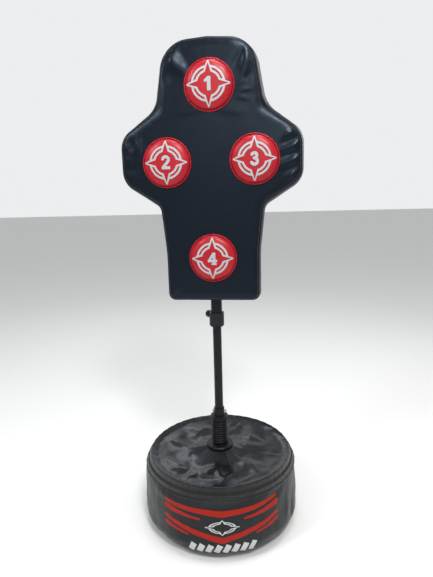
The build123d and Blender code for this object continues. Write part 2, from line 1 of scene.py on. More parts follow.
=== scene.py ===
"""Looks of the body opponent mannequin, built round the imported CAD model.

Metres, +Z up, front towards -Y. Every place comes from the frame's boxes or from the named
sizes below.
"""

import math

import bpy
import numpy as np
from mathutils import Matrix, Vector, noise
from mathutils.geometry import delaunay_2d_cdt


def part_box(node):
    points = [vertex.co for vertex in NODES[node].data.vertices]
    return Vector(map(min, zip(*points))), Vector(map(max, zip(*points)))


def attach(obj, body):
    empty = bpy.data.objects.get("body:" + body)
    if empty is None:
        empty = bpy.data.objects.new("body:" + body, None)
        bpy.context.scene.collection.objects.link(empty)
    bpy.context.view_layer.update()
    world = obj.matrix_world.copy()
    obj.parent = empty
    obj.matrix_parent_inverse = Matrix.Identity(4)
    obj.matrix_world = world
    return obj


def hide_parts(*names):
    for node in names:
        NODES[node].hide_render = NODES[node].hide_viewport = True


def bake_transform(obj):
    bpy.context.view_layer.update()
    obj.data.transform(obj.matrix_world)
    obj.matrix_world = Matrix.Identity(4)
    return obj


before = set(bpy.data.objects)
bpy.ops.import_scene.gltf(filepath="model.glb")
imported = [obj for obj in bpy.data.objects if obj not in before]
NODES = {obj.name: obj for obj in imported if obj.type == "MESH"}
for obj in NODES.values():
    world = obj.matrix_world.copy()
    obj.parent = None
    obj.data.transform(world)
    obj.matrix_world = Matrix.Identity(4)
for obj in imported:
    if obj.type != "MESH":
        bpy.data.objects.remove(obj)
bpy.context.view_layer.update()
MM = 0.001

# ---------------------------------------------------------------- camera and stage

CAMERA_TURN = math.radians(7.45)
CAMERA_DISTANCE, CAMERA_HEIGHT = 1.3133, 0.9624
CAMERA_PITCH, CAMERA_PAN, CAMERA_ROLL = map(math.radians, (10.96, 0.06, -1.48))
CAMERA_LENS = 29.0


def turned(vector, angle):
    """The vector turned about +Z."""
    return Matrix.Rotation(angle, 3, "Z") @ Vector(vector)


def make_camera():
    """The main view, from the camera numbers above."""
    forward = Vector((
        math.sin(CAMERA_PAN) * math.cos(CAMERA_PITCH),
        math.cos(CAMERA_PAN) * math.cos(CAMERA_PITCH),
        -math.sin(CAMERA_PITCH),
    ))
    right = Vector((math.cos(CAMERA_PAN), -math.sin(CAMERA_PAN), 0))
    up = right.cross(forward)
    side = right * math.cos(CAMERA_ROLL) + up * math.sin(CAMERA_ROLL)
    top = up * math.cos(CAMERA_ROLL) - right * math.sin(CAMERA_ROLL)
    axes = [turned(v, CAMERA_TURN) for v in (side, top, -forward)]
    camera = bpy.data.objects.new("camera", bpy.data.cameras.new("camera"))
    camera.data.lens = CAMERA_LENS
    camera.data.sensor_width = 36
    place = Matrix(axes).transposed().to_4x4()
    place.translation = turned((0, -CAMERA_DISTANCE, CAMERA_HEIGHT), CAMERA_TURN)
    camera.matrix_world = place
    bpy.context.scene.collection.objects.link(camera)
    bpy.context.scene.camera = camera


# name, place, the height on the pole's axis that it aims at, width and height, power and colour
LIGHTS = [
    ("key", (0.65, -1.7, 2.6), 1.0, (0.4, 0.5), 40, (1, 0.99, 0.97)),
    ("front", (0.15, -3.0, 1.9), 1.1, (1.3, 1.0), 12, (0.95, 0.98, 1)),
    ("window", (-1.3, -1.3, 2.2), 1.0, (0.3, 0.7), 15, (0.93, 0.97, 1)),
    ("top", (0.2, -0.3, 3.0), 0.3, (0.9, 0.9), 24, (1, 1, 1)),
    ("rim", (1.4, 1.3, 1.8), 0.8, (0.6, 1.2), 6, (1, 1, 1)),
    ("back", (-0.85, 2.4, 2.0), 0.8, (0.7, 0.8), 5.5, (0.95, 0.98, 1)),
]


def area_light(name, place, aim_height, size, power, colour):
    data = bpy.data.lights.new(name, "AREA")
    data.shape = "RECTANGLE"
    data.size, data.size_y = size
    data.energy = power
    data.color = colour
    light = bpy.data.objects.new(name, data)
    light.location = place
    light.visible_camera = False
    aim = Vector((0, 0, aim_height)) - Vector(place)
    light.rotation_euler = aim.to_track_quat("-Z", "Y").to_euler()
    bpy.context.scene.collection.objects.link(light)


# strength of the room's light against height, from the horizon to overhead
ROOM_LIGHT = [(0.36, 0.98), (0.50, 0.45), (0.66, 0.45), (0.86, 1.0)]
# share of that light in front of the object and behind it, reached this far towards each
ROOM_FRONT, ROOM_BACK, ROOM_REACH = 0.55, 0.88, 0.6


def light_room(tree):
    """A white backdrop behind the object and a dimmer room in front, with a bright ceiling."""
    place = tree.nodes.new("ShaderNodeTexCoord")
    direction = tree.nodes.new("ShaderNodeSeparateXYZ")
    tree.links.new(place.outputs["Generated"], direction.inputs[0])
    height = tree.nodes.new("ShaderNodeValToRGB")
    tree.links.new(direction.outputs["Z"], height.inputs["Fac"])
    while len(height.color_ramp.elements) < len(ROOM_LIGHT):
        height.color_ramp.elements.new(0.5)
    for element, (position, strength) in zip(height.color_ramp.elements, ROOM_LIGHT):
        element.position = position
        element.color = (strength, strength, strength, 1)
    depth = tree.nodes.new("ShaderNodeMapRange")
    tree.links.new(direction.outputs["Y"], depth.inputs["Value"])
    for name, number in (("From Min", -ROOM_REACH), ("From Max", ROOM_REACH),
                         ("To Min", ROOM_FRONT), ("To Max", ROOM_BACK)):
        depth.inputs[name].default_value = number
    product = tree.nodes.new("ShaderNodeMath")
    product.operation = "MULTIPLY"
    tree.links.new(height.outputs["Color"], product.inputs[0])
    tree.links.new(depth.outputs["Result"], product.inputs[1])
    sky = tree.nodes["Background"]
    sky.inputs["Color"].default_value = (0.97, 0.985, 1.0, 1)
    tree.links.new(product.outputs[0], sky.inputs["Strength"])


def make_stage():
    """The floor, the room's light and the lamps."""
    bpy.ops.mesh.primitive_plane_add(size=60, location=(0, 0, 0))
    floor = bpy.context.object
    floor.name = "floor"
    paper = bpy.data.materials.new("paper_floor")
    paper.use_nodes = True
    shader = paper.node_tree.nodes["Principled BSDF"]
    shader.inputs["Base Color"].default_value = (0.86, 0.86, 0.85, 1)
    shader.inputs["Roughness"].default_value = 0.9
    floor.data.materials.append(paper)
    world = bpy.context.scene.world or bpy.data.worlds.new("studio")
    bpy.context.scene.world = world
    world.use_nodes = True
    light_room(world.node_tree)
    for light in LIGHTS:
        area_light(*light)
    bpy.context.scene.view_settings.view_transform = "Standard"


make_camera()
make_stage()

# ---------------------------------------------------------------- mesh helpers


def full_turn(count):
    """Even angles round a circle."""
    return [2 * math.pi * k / count for k in range(count)]


def polar(radius, turn, z):
    """The point at a radius and height; turn is the angle from the front, towards +X."""
    return (radius * math.sin(turn), -radius * math.cos(turn), z)


def wrapped(turn):
    """The same angle, between half a turn back and half a turn on."""
    return (turn + math.pi) % (2 * math.pi) - math.pi


def unit(value):
    """The value held between 0 and 1."""
    return min(max(value, 0), 1)


def smooth_step(low, high, value):
    """0 at low, 1 at high and an S-curve between them."""
    t = unit((value - low) / (high - low))
    return t * t * (3 - 2 * t)


def soft_noise(x, y, z, seed=0.0):
    """Smooth noise from -1 to 1."""
    return noise.noise(Vector((x + seed, y - seed * 0.7, z + seed * 1.3)))


def shade_smooth(mesh):
    mesh.polygons.foreach_set("use_smooth", [True] * len(mesh.polygons))


def new_piece(name, points, faces, material=None):
    """A smooth-shaded object in the scene, from its points and faces."""
    mesh = bpy.data.meshes.new(name)
    mesh.from_pydata([tuple(p) for p in points], [], [tuple(f) for f in faces])
    mesh.validate()
    shade_smooth(mesh)
    piece = bpy.data.objects.new(name, mesh)
    bpy.context.scene.collection.objects.link(piece)
    if material:
        mesh.materials.append(material)
    return piece


def grid_faces(rows, columns, closed_columns=True, closed_rows=False, start=0):
    """Quads of a grid whose vertex r, c is numbered start + r * columns + c."""
    faces = []
    for r in range(rows if closed_rows else rows - 1):
        for c in range(columns if closed_columns else columns - 1):
            r2, c2 = (r + 1) % rows, (c + 1) % columns
            faces.append((
                start + r * columns + c,
                start + r * columns + c2,
                start + r2 * columns + c2,
                start + r2 * columns + c,
            ))
    return faces


def tube_along(points, radius, sides, closed=False):
    """Vertices and faces of a round tube through the points, without twist."""
    points = np.asarray(points, float)
    count = len(points)
    ahead = np.roll(points, -1, 0) - np.roll(points, 1, 0)
    if not closed:
        ahead[0], ahead[-1] = points[1] - points[0], points[-1] - points[-2]
    ahead /= np.linalg.norm(ahead, axis=1)[:, None]
    across = np.cross(ahead[0], (0, 0, 1) if abs(ahead[0][2]) < 0.9 else (1, 0, 0))
    rings = []
    for i in range(count):
        across = across - ahead[i] * across.dot(ahead[i])
        across /= np.linalg.norm(across)
        other = np.cross(ahead[i], across)
        for turn in full_turn(sides):
            rings.append(points[i] + radius * (math.cos(turn) * across + math.sin(turn) * other))
    faces = grid_faces(count, sides, closed_rows=closed)
    if not closed:
        faces.append(tuple(range(sides))[::-1])
        faces.append(tuple((count - 1) * sides + k for k in range(sides)))
    return rings, faces


def gather(parts):
    """Joins (points, faces) pairs into one pair."""
    points, faces = [], []
    for some_points, some_faces in parts:
        shift = len(points)
        points.extend(some_points)
        faces.extend(tuple(i + shift for i in f) for f in some_faces)
    return points, faces


def subdivide(piece):
    """Applies one level of subdivision surface."""
    modifier = piece.modifiers.new("subdivision", "SUBSURF")
    modifier.levels = modifier.render_levels = 1
    graph = bpy.context.evaluated_depsgraph_get()
    mesh = bpy.data.meshes.new_from_object(piece.evaluated_get(graph))
    piece.modifiers.remove(modifier)
    piece.data = mesh
    shade_smooth(mesh)


# ---------------------------------------------------------------- materials


class Look:
    """A Principled material with short calls for the nodes that shape it."""

    def __init__(self, name, colour, roughness, metallic=0.0, specular=0.5, sheen=0.0,
                 tint=(1, 1, 1)):
        self.material = bpy.data.materials.new(name)
        self.material.use_nodes = True
        self.tree = self.material.node_tree
        self.shader = self.tree.nodes["Principled BSDF"]
        self.shader.inputs["Base Color"].default_value = (*colour, 1)
        self.shader.inputs["Roughness"].default_value = roughness
        self.shader.inputs["Metallic"].default_value = metallic
        self.shader.inputs["Specular IOR Level"].default_value = specular
        self.shader.inputs["Specular Tint"].default_value = (*tint, 1)
        self.shader.inputs["Sheen Weight"].default_value = sheen
        self.place = self.node("ShaderNodeTexCoord").outputs["Object"]

    def feed(self, socket, value):
        """Links a node's output to the socket, or sets the socket to a plain value."""
        if hasattr(value, "is_linked"):
            self.tree.links.new(value, socket)
        else:
            socket.default_value = value

    def node(self, kind, **inputs):
        """A node with its inputs fed by name, an underscore standing for a space."""
        made = self.tree.nodes.new(kind)
        for name, value in inputs.items():
            self.feed(made.inputs[name.replace("_", " ")], value)
        return made

    def math(self, operation, first, second=0.0):
        made = self.node("ShaderNodeMath")
        made.operation = operation
        for socket, value in zip(made.inputs, (first, second)):
            self.feed(socket, value)
        return made.outputs[0]

    def noise(self, scale, detail=3.0, roughness=0.55):
        made = self.node(
            "ShaderNodeTexNoise", Vector=self.place, Scale=scale, Detail=detail,
            Roughness=roughness,
        )
        return made.outputs["Fac"]

    def stretched(self, scale):
        """The object's coordinates scaled along each axis."""
        made = self.node("ShaderNodeMapping", Vector=self.place)
        made.inputs["Scale"].default_value = scale
        return made.outputs["Vector"]

    def remap(self, value, low, high, new_low, new_high):
        made = self.node(
            "ShaderNodeMapRange", Value=value, From_Min=low, From_Max=high, To_Min=new_low,
            To_Max=new_high,
        )
        return made.outputs["Result"]

    def spread(self, value, new_low, new_high):
        """Noise, whose values lie mostly between 0.3 and 0.7, spread over a new range."""
        return self.remap(value, 0.3, 0.7, new_low, new_high)

    def mix(self, factor, first, second):
        made = self.node("ShaderNodeMix")
        made.data_type = "RGBA"
        self.tree.links.new(factor, made.inputs[0])
        for index, value in ((6, first), (7, second)):
            self.feed(made.inputs[index], value if hasattr(value, "is_linked") else (*value, 1))
        return made.outputs[2]

    def colour(self, value):
        self.tree.links.new(value, self.shader.inputs["Base Color"])

    def rough(self, value):
        self.tree.links.new(value, self.shader.inputs["Roughness"])

    def bump(self, *layers):
        """Layers of (height, distance in metres), stacked into the normal."""
        normal = None
        for height, distance in layers:
            made = self.node("ShaderNodeBump", Height=height, Distance=distance, Strength=1.0)
            if normal:
                self.tree.links.new(normal, made.inputs["Normal"])
            normal = made.outputs["Normal"]
        self.tree.links.new(normal, self.shader.inputs["Normal"])

    def grain(self, scale):
        """Leather pebbles, 1 on a pebble and 0 in the groove round it."""
        cells = self.node("ShaderNodeTexVoronoi", Vector=self.place, Scale=scale)
        cells.feature = "DISTANCE_TO_EDGE"
        return self.remap(cells.outputs["Distance"], 0.0, 0.35, 0.0, 1.0)


COOL_GLOSS = (0.62, 0.80, 1.0)


def leatherette(name, dark, light, smoothest, roughest, grain_scale, grain_height, slump,
                specular=0.25, tint=COOL_GLOSS):
    """Coated fabric: pebbled grain, cloudy sheen and shallow dents, with duller grooves."""
    look = Look(name, dark, roughest, specular=specular, tint=tint)
    clouds = look.noise(9.0, 3.0)
    fine = look.noise(160.0, 2.0)
    grain = look.grain(grain_scale)
    look.colour(look.mix(look.spread(clouds, 0.0, 1.0), dark, light))
    sheen = look.spread(clouds, roughest, smoothest)
    worn = look.math("ADD", sheen, look.spread(fine, -0.04, 0.04))
    look.rough(look.math("ADD", worn, look.remap(grain, 0.0, 1.0, 0.06, 0.0)))
    look.bump((look.noise(26.0, 2.0), slump), (grain, grain_height))
    return look


def pad_look():
    return leatherette(
        "pad_leatherette", (0.0028, 0.0038, 0.0070), (0.0045, 0.0060, 0.0105),
        0.24, 0.33, 620.0, 0.000015, 0.0003,
    ).material


def target_look():
    return leatherette(
        "target_leatherette", (0.33, 0.006, 0.013), (0.40, 0.009, 0.018),
        0.26, 0.34, 620.0, 0.000015, 0.0002, 0.3, (1, 1, 1),
    ).material


def lid_look():
    return leatherette(
        "lid_coated_fabric", (0.0045, 0.0052, 0.0060), (0.0075, 0.0085, 0.0100),
        0.18, 0.28, 780.0, 0.000015, 0.0005, 0.4, (0.8, 0.9, 1.0),
    ).material


def bag_look():
    """The bag's wall: warmer and duller than the pad, with scuffs and dust low down."""
    look = leatherette(
        "bag_coated_fabric", (0.0052, 0.0050, 0.0050), (0.0095, 0.0090, 0.0088),
        0.28, 0.42, 780.0, 0.00002, 0.0006, 0.3, (0.85, 0.92, 1.0),
    )
    base = look.shader.inputs["Base Color"].links[0].from_socket
    height = look.node("ShaderNodeSeparateXYZ", Vector=look.place).outputs["Z"]
    low_down = look.remap(height, 0.0, 0.10, 1.0, 0.0)
    specks = look.remap(look.noise(55.0, 5.0, 0.65), 0.62, 0.72, 0.0, 1.0)
    dust = look.math("MULTIPLY", specks, look.math("MULTIPLY", low_down, 0.35))
    look.colour(look.mix(dust, base, (0.10, 0.08, 0.055)))
    return look.material


def print_look(name, light, shade, ribs, tilt):
    """A transfer print with fine slanting ribs."""
    look = Look(name, light, 0.42, specular=0.5)
    turned_place = look.node("ShaderNodeVectorRotate", Vector=look.place)
    turned_place.inputs["Axis"].default_value = (0, 1, 0)
    turned_place.inputs["Angle"].default_value = tilt
    wave = look.node("ShaderNodeTexWave", Vector=turned_place.outputs["Vector"], Scale=ribs)
    wave.bands_direction = "X"
    ridge = look.remap(wave.outputs["Fac"], 0.15, 0.75, 0.0, 1.0)
    look.colour(look.mix(ridge, shade, light))
    look.bump((wave.outputs["Fac"], 0.00008))
    return look.material


def flat_print_look(name, colour, worn):
    """A solid transfer print, cracked and rubbed a little."""
    look = Look(name, colour, 0.45, specular=0.2)
    rubbed = look.remap(look.noise(70.0, 6.0, 0.7), 0.56, 0.70, 0.0, 1.0)
    look.colour(look.mix(look.math("MULTIPLY", rubbed, 0.5), colour, worn))
    look.rough(look.spread(look.noise(30.0), 0.38, 0.55))
    look.bump((look.noise(300.0, 2.0), 0.00005))
    return look.material


def webbing_look(name, colour, scale):
    """Woven tape: two crossing sets of threads."""
    look = Look(name, colour, 0.8, sheen=0.3)
    heights = []
    for direction in ("X", "Z"):
        wave = look.node("ShaderNodeTexWave", Vector=look.place, Scale=scale, Distortion=1.0)
        wave.bands_direction = direction
        heights.append(wave.outputs["Fac"])
    weave = look.math("MULTIPLY", *heights)
    look.colour(look.mix(weave, tuple(0.6 * c for c in colour), tuple(1.5 * c for c in colour)))
    look.rough(look.spread(look.noise(40.0), 0.7, 0.9))
    look.bump((weave, 0.0003))
    return look.material


def painted_look(name, colour, roughness, chip=(0.05, 0.05, 0.055), metallic=0.0):
    """Powder coat: fine orange peel, faint rubbed streaks along the height."""
    look = Look(name, colour, roughness, metallic=metallic, specular=0.25)
    rub = look.node(
        "ShaderNodeTexNoise", Vector=look.stretched((160, 160, 7)), Scale=1.0, Detail=4.0
    ).outputs["Fac"]
    rubbed = look.remap(rub, 0.60, 0.78, 0.0, 0.6)
    look.colour(look.mix(rubbed, colour, chip))
    look.rough(look.spread(look.noise(60.0), roughness - 0.06, roughness + 0.08))
    look.bump((look.noise(900.0, 1.0), 0.00006))
    return look.material


def plastic_look(name, colour, roughness):
    """Moulded plastic: fine spark texture and a cloudy surface."""
    look = Look(name, colour, roughness, specular=0.3)
    clouds = look.noise(45.0, 3.0)
    look.colour(look.mix(clouds, tuple(0.8 * c for c in colour), tuple(1.3 * c for c in colour)))
    look.rough(look.spread(clouds, roughness - 0.05, roughness + 0.07))
    look.bump((look.noise(1400.0, 2.0), 0.00005))
    return look.material


def zinc_look(name, colour=(0.55, 0.56, 0.58)):
    """Zinc plate with a mottled passivate."""
    look = Look(name, colour, 0.35, metallic=1.0)
    mottle = look.noise(220.0, 3.0)
    look.colour(look.mix(mottle, tuple(0.7 * c for c in colour), colour))
    look.rough(look.spread(mottle, 0.28, 0.45))
    look.bump((look.noise(700.0, 2.0), 0.00004))
    return look.material


def foam_look():
    look = Look("foam_cells", (0.30, 0.31, 0.33), 0.95)
    cells = look.node("ShaderNodeTexVoronoi", Vector=look.place, Scale=500.0).outputs["Distance"]
    look.colour(look.mix(cells, (0.36, 0.37, 0.39), (0.2, 0.2, 0.22)))
    look.bump((cells, 0.0004))
    return look.material


def plywood_look():
    look = Look("birch_plywood", (0.42, 0.27, 0.14), 0.7)
    rings = look.node(
        "ShaderNodeTexNoise", Vector=look.stretched((90, 30, 4)), Scale=1.0, Detail=4.0
    ).outputs["Fac"]
    look.colour(look.mix(rings, (0.33, 0.20, 0.10), (0.52, 0.36, 0.20)))
    look.bump((rings, 0.0002))
    return look.material


def fill_look():
    look = Look("granule_fill", (0.10, 0.09, 0.08), 0.95)
    look.colour(look.mix(look.noise(300.0), (0.05, 0.045, 0.04), (0.22, 0.19, 0.15)))
    look.bump((look.noise(350.0, 4.0), 0.0006))
    return look.material


PAD = pad_look()
RED = target_look()
LID = lid_look()
BAG = bag_look()
WHITE_RIBBED = print_look("ribbed_white_print", (0.43, 0.46, 0.47), (0.30, 0.31, 0.32), 125.0, 0.9)
WHITE_PRINT = flat_print_look("white_bag_print", (0.52, 0.53, 0.52), (0.12, 0.12, 0.12))
RED_PRINT = flat_print_look("red_bag_print", (0.32, 0.010, 0.003), (0.09, 0.010, 0.005))
THREAD = webbing_look("black_thread", (0.035, 0.038, 0.042), 900.0)
TAPE = webbing_look("zip_tape_weave", (0.0045, 0.0045, 0.0050), 420.0)
NYLON_COIL = plastic_look("zip_coil_nylon", (0.016, 0.016, 0.018), 0.38)
POLE_PAINT = painted_look("pole_powder_coat", (0.0035, 0.0035, 0.0055), 0.34, (0.02, 0.02, 0.023))
FOOT_PAINT = painted_look("foot_powder_coat", (0.007, 0.007, 0.008), 0.45, (0.03, 0.03, 0.032))
SPRING_PAINT = painted_look("spring_black_oxide", (0.02, 0.02, 0.022), 0.35, metallic=0.6)
COLLAR_PLASTIC = plastic_look("collar_nylon", (0.0060, 0.0066, 0.0095), 0.42)
KNOB_PLASTIC = plastic_look("knob_plastic", (0.006, 0.006, 0.008), 0.22)
NYLON = plastic_look("natural_black_nylon", (0.02, 0.02, 0.02), 0.5)
ZINC = zinc_look("zinc_plate")
ZIP_METAL = zinc_look("black_nickel", (0.06, 0.06, 0.065))
FOAM = foam_look()
PLYWOOD = plywood_look()
FILL = fill_look()

NODE_LOOKS = {
    POLE_PAINT: ("lower_tube", "upper_tube"),
    FOOT_PAINT: (
        "base_plate", "riser_tube", "riser_ribs", "riser_top_plate", "lower_spring_seat",
        "pole_socket",
    ),
    COLLAR_PLASTIC: ("collar",),
    KNOB_PLASTIC: ("clamp_knob",),
    NYLON: ("lower_tube_cap", "height_bush", "upper_tube_cap", "clamp_screw_tip"),
    ZINC: (
        "anchor_bolt", "anchor_nut", "socket_bolt", "socket_nut", "saddle_bolts",
        "saddle_nuts", "clamp_screw", "tube_saddles",
    ),
    ZIP_METAL: ("zip_slider", "zip_pull", "zip_stops"),
    PLYWOOD: ("backing_board",),
    BAG: ("bag_bottom",),
}
for look, names in NODE_LOOKS.items():
    for name in names:
        mesh = NODES[name].data
        mesh.materials.clear()
        mesh.materials.append(look)

# ---------------------------------------------------------------- flat shapes for prints


def direction(ax, ay, bx, by):
    """A line's length and its unit direction."""
    length = math.hypot(bx - ax, by - ay)
    return length, (bx - ax) / length, (by - ay) / length


def stroke(ax, ay, bx, by, half):
    """How far inside a straight stroke each point is."""
    def inside(x, y):
        px, py, dx, dy = x - ax, y - ay, bx - ax, by - ay
        t = np.clip((px * dx + py * dy) / (dx * dx + dy * dy), 0, 1)
        return half - np.hypot(px - t * dx, py - t * dy)
    return inside


def square_stroke(ax, ay, bx, by, half):
    """The same with square ends."""
    length, ux, uy = direction(ax, ay, bx, by)

    def inside(x, y):
        along = (x - ax) * ux + (y - ay) * uy
        aside = np.abs((y - ay) * ux - (x - ax) * uy)
        return np.minimum(half - aside, np.minimum(along, length - along))
    return inside


def arc_stroke(cx, cy, radius, start, end, half):
    """How far inside a curved stroke, from angle start to end in degrees, each point is."""
    middle, spread = math.radians((start + end) / 2), math.radians(abs(end - start) / 2)

    def inside(x, y):
        px, py = x - cx, y - cy
        turn = wrapped(np.arctan2(py, px) - middle)
        rho = np.hypot(px, py)
        beyond = np.maximum(np.abs(turn) - spread, 0)
        return half - np.hypot(rho - radius, 2 * radius * np.sin(beyond / 2))
    return inside


def taper(tip, foot, tip_half, foot_half):
    """A straight stroke that widens from its tip to its foot."""
    ax, ay = tip
    length, ux, uy = direction(*tip, *foot)

    def inside(x, y):
        along = np.clip((x - ax) * ux + (y - ay) * uy, 0, length)
        half = tip_half + (foot_half - tip_half) * along / length
        return half - np.hypot(x - ax - along * ux, y - ay - along * uy)
    return inside


NUMERALS = {
    1: [
        square_stroke(0.03, -0.27, 0.03, 0.28, 0.075),
        stroke(0.02, 0.22, -0.12, 0.12, 0.055),
    ],
    2: [
        arc_stroke(0.0, 0.12, 0.125, -35, 165, 0.062),
        stroke(0.10, 0.05, -0.12, -0.20, 0.062),
        square_stroke(-0.18, -0.215, 0.19, -0.215, 0.062),
    ],
    3: [
        arc_stroke(0.0, 0.125, 0.105, -90, 155, 0.062),
        arc_stroke(0.0, -0.105, 0.125, -155, 90, 0.064),
    ],
    4: [
        stroke(0.05, 0.22, -0.15, -0.09, 0.055),
        square_stroke(-0.20, -0.10, 0.21, -0.10, 0.055),
        square_stroke(0.075, -0.26, 0.075, 0.27, 0.062),
        square_stroke(-0.04, -0.235, 0.19, -0.235, 0.040),
    ],
}


def reticle():
    """A generic four-spike crosshair: outlined spikes joined by inner arcs, and outer arcs."""
    shapes = []
    line, tip, waist, outer, inner = 0.042, 0.92, 0.145, 0.665, 0.50
    for quarter in range(4):
        turn = math.radians(90 * quarter)
        cosine, sine = math.cos(turn), math.sin(turn)
        for side in (-1, 1):
            foot = (inner * 0.98, side * waist)
            point = (tip - 0.03, side * 0.008)
            spots = [(px * cosine - py * sine, px * sine + py * cosine) for px, py in (point, foot)]
            shapes.append(taper(spots[0], spots[1], 0.024, line))
        for radius, gap in ((outer, 9), (inner, 17)):
            first, last = 90 * quarter + gap, 90 * quarter + 90 - gap
            shapes.append(arc_stroke(0, 0, radius, first, last, line * 1.05))
    return shapes


def covered(shapes, x, y):
    """How far inside the nearest shape each point is."""
    return np.max([shape(x, y) for shape in shapes], axis=0)


def decal(name, shapes, low, high, step, place, material):
    """The shapes as one thin sheet, cut out along their edges and laid on a surface.

    place turns a flat point into a point in space.
    """
    xs = np.arange(low[0], high[0] + step, step)
    ys = np.arange(low[1], high[1] + step, step)
    values = covered(shapes, *np.meshgrid(xs, ys))
    points, faces, known = [], [], {}

    def corner(key, x, y):
        if key not in known:
            known[key] = len(points)
            points.append(place(x, y))
        return known[key]

    for j in range(len(ys) - 1):
        for i in range(len(xs) - 1):
            ring = [(i, j), (i + 1, j), (i + 1, j + 1), (i, j + 1)]
            heights = [values[b, a] for a, b in ring]
            if max(heights) <= 0:
                continue
            face = []
            for k in range(4):
                (a, b), (c, d) = ring[k], ring[(k + 1) % 4]
                here, there = heights[k], heights[(k + 1) % 4]
                if here > 0:
                    face.append(corner((a, b), xs[a], ys[b]))
                if (here > 0) != (there > 0):
                    t = here / (here - there)
                    edge = ("cut", *sorted([(a, b), (c, d)]))
                    x, y = xs[a] + t * (xs[c] - xs[a]), ys[b] + t * (ys[d] - ys[b])
                    face.append(corner(edge, x, y))
            if len(face) > 2:
                faces.append(face)
    return new_piece(name, points, faces, material)


# ---------------------------------------------------------------- targets

TARGET_POWER, TARGET_ROUND = 4.2, 2.4
TARGET_RINGS, TARGET_SEGMENTS, RING_CROWDING = 34, 128, 1.7
PIPING_RADIUS, PIPING_INSET, PIPING_SEGMENTS = 0.0018, 0.0017, 160
PRINT_LIFT, PRINT_STEP, PRINT_EDGE = 0.0004, 0.0009, 0.98


def dome_height(rho, radius, depth):
    """The padded disc's height: nearly flat on top, round at its shoulder."""
    share = unit(rho / radius)
    return depth * max(1 - share**TARGET_POWER, 0) ** (1 / TARGET_ROUND)


def make_target(number):
    """A padded disc, the piping round it and its print."""
    cover_lo, cover_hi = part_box(f"target_{number}_cover")
    welt_lo, welt_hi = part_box(f"target_{number}_welt")
    x, z = (cover_lo.x + cover_hi.x) / 2, (cover_lo.z + cover_hi.z) / 2
    radius, front = (cover_hi.x - cover_lo.x) / 2, cover_hi.y
    depth = cover_hi.y - cover_lo.y

    def surface(px, pz, lift=0.0):
        """A point on the disc, px and pz from its middle."""
        rho, turn = math.hypot(px, pz), math.atan2(pz, px)
        puff = 1 + 0.018 * soft_noise(3 * math.cos(turn), 3 * math.sin(turn), number * 5.1)
        rise = dome_height(rho, radius * puff, depth)
        rise += 0.0003 * soft_noise(px * 38, pz * 38, number * 2.3) * (1 - rho / radius)
        pucker = smooth_step(0.80, 0.97, rho / radius) * smooth_step(1.0, 0.985, rho / radius)
        rise += 0.00025 * pucker * math.sin(turn * 46 + 2 * math.sin(turn * 3))
        return (x + px, front - rise - lift, z + pz)

    rings, segments = TARGET_RINGS, TARGET_SEGMENTS
    points = [surface(0, 0)]
    for ring in range(1, rings + 1):
        share = 1 - (1 - ring / rings) ** RING_CROWDING
        for turn in full_turn(segments):
            points.append(surface(radius * share * math.cos(turn), radius * share * math.sin(turn)))
    last = 1 + (rings - 1) * segments
    skirt = len(points)
    for turn in full_turn(segments):
        points.append((x + radius * math.cos(turn), front + 0.001, z + radius * math.sin(turn)))
    faces = [(0, 1 + k, 1 + (k + 1) % segments) for k in range(segments)]
    faces += grid_faces(rings, segments, start=1)
    faces += [
        (last + k, last + (k + 1) % segments, skirt + (k + 1) % segments, skirt + k)
        for k in range(segments)
    ]
    cover = new_piece(f"target_{number}_padded_face", points, faces, RED)
    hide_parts(f"target_{number}_cover", f"target_{number}_foam")
    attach(cover, "torso")

    welt_radius = (welt_hi.x - welt_lo.x) / 2 - PIPING_INSET
    ring_points = []
    for turn in full_turn(PIPING_SEGMENTS):
        wander = 0.0003 * math.sin(turn * 31 + number)
        ring_points.append((
            x + (welt_radius + wander) * math.cos(turn),
            (welt_lo.y + welt_hi.y) / 2 + 0.0002 * math.sin(turn * 23),
            z + (welt_radius + wander) * math.sin(turn),
        ))
    piping = tube_along(ring_points, PIPING_RADIUS, 10, True)
    welt = new_piece(f"target_{number}_piping", *piping, RED)
    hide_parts(f"target_{number}_welt")
    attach(welt, "torso")

    def on_dome(px, pz):
        return surface(px * radius, pz * radius, PRINT_LIFT)

    mark = decal(
        f"target_{number}_print", reticle() + NUMERALS[number], (-PRINT_EDGE, -PRINT_EDGE),
        (PRINT_EDGE, PRINT_EDGE), PRINT_STEP / radius, on_dome, WHITE_RIBBED,
    )
    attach(mark, "torso")


for number in (1, 2, 3, 4):
    make_target(number)

# ---------------------------------------------------------------- torso pad

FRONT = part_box("pad_front_cover")[0].y
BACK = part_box("pad_back_cover")[1].y
PAD_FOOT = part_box("pad_side_gusset")[0].z
# how far the head's middle rises above its last corner, in mm
CROWN = 8

# half outlines, foot to crown, as (x, height above the pad's foot) in mm with each corner's radius
SILHOUETTE = [
    ((130, 0), 22), ((130, 138), 400), ((143, 259), 30), ((244, 324), 60),
    ((244, 446), 58), ((147.5, 518.4), 80), ((119, 677), 82),
]
FRONT_SEAM = [
    ((126, 4), 18), ((126, 136), 400), ((137, 263), 24), ((238, 328), 54),
    ((238, 441), 53), ((136, 508), 36), ((114, 672), 76),
]
SEAM_DEPTH = 7 * MM
SEAM_STEP = 6 * MM


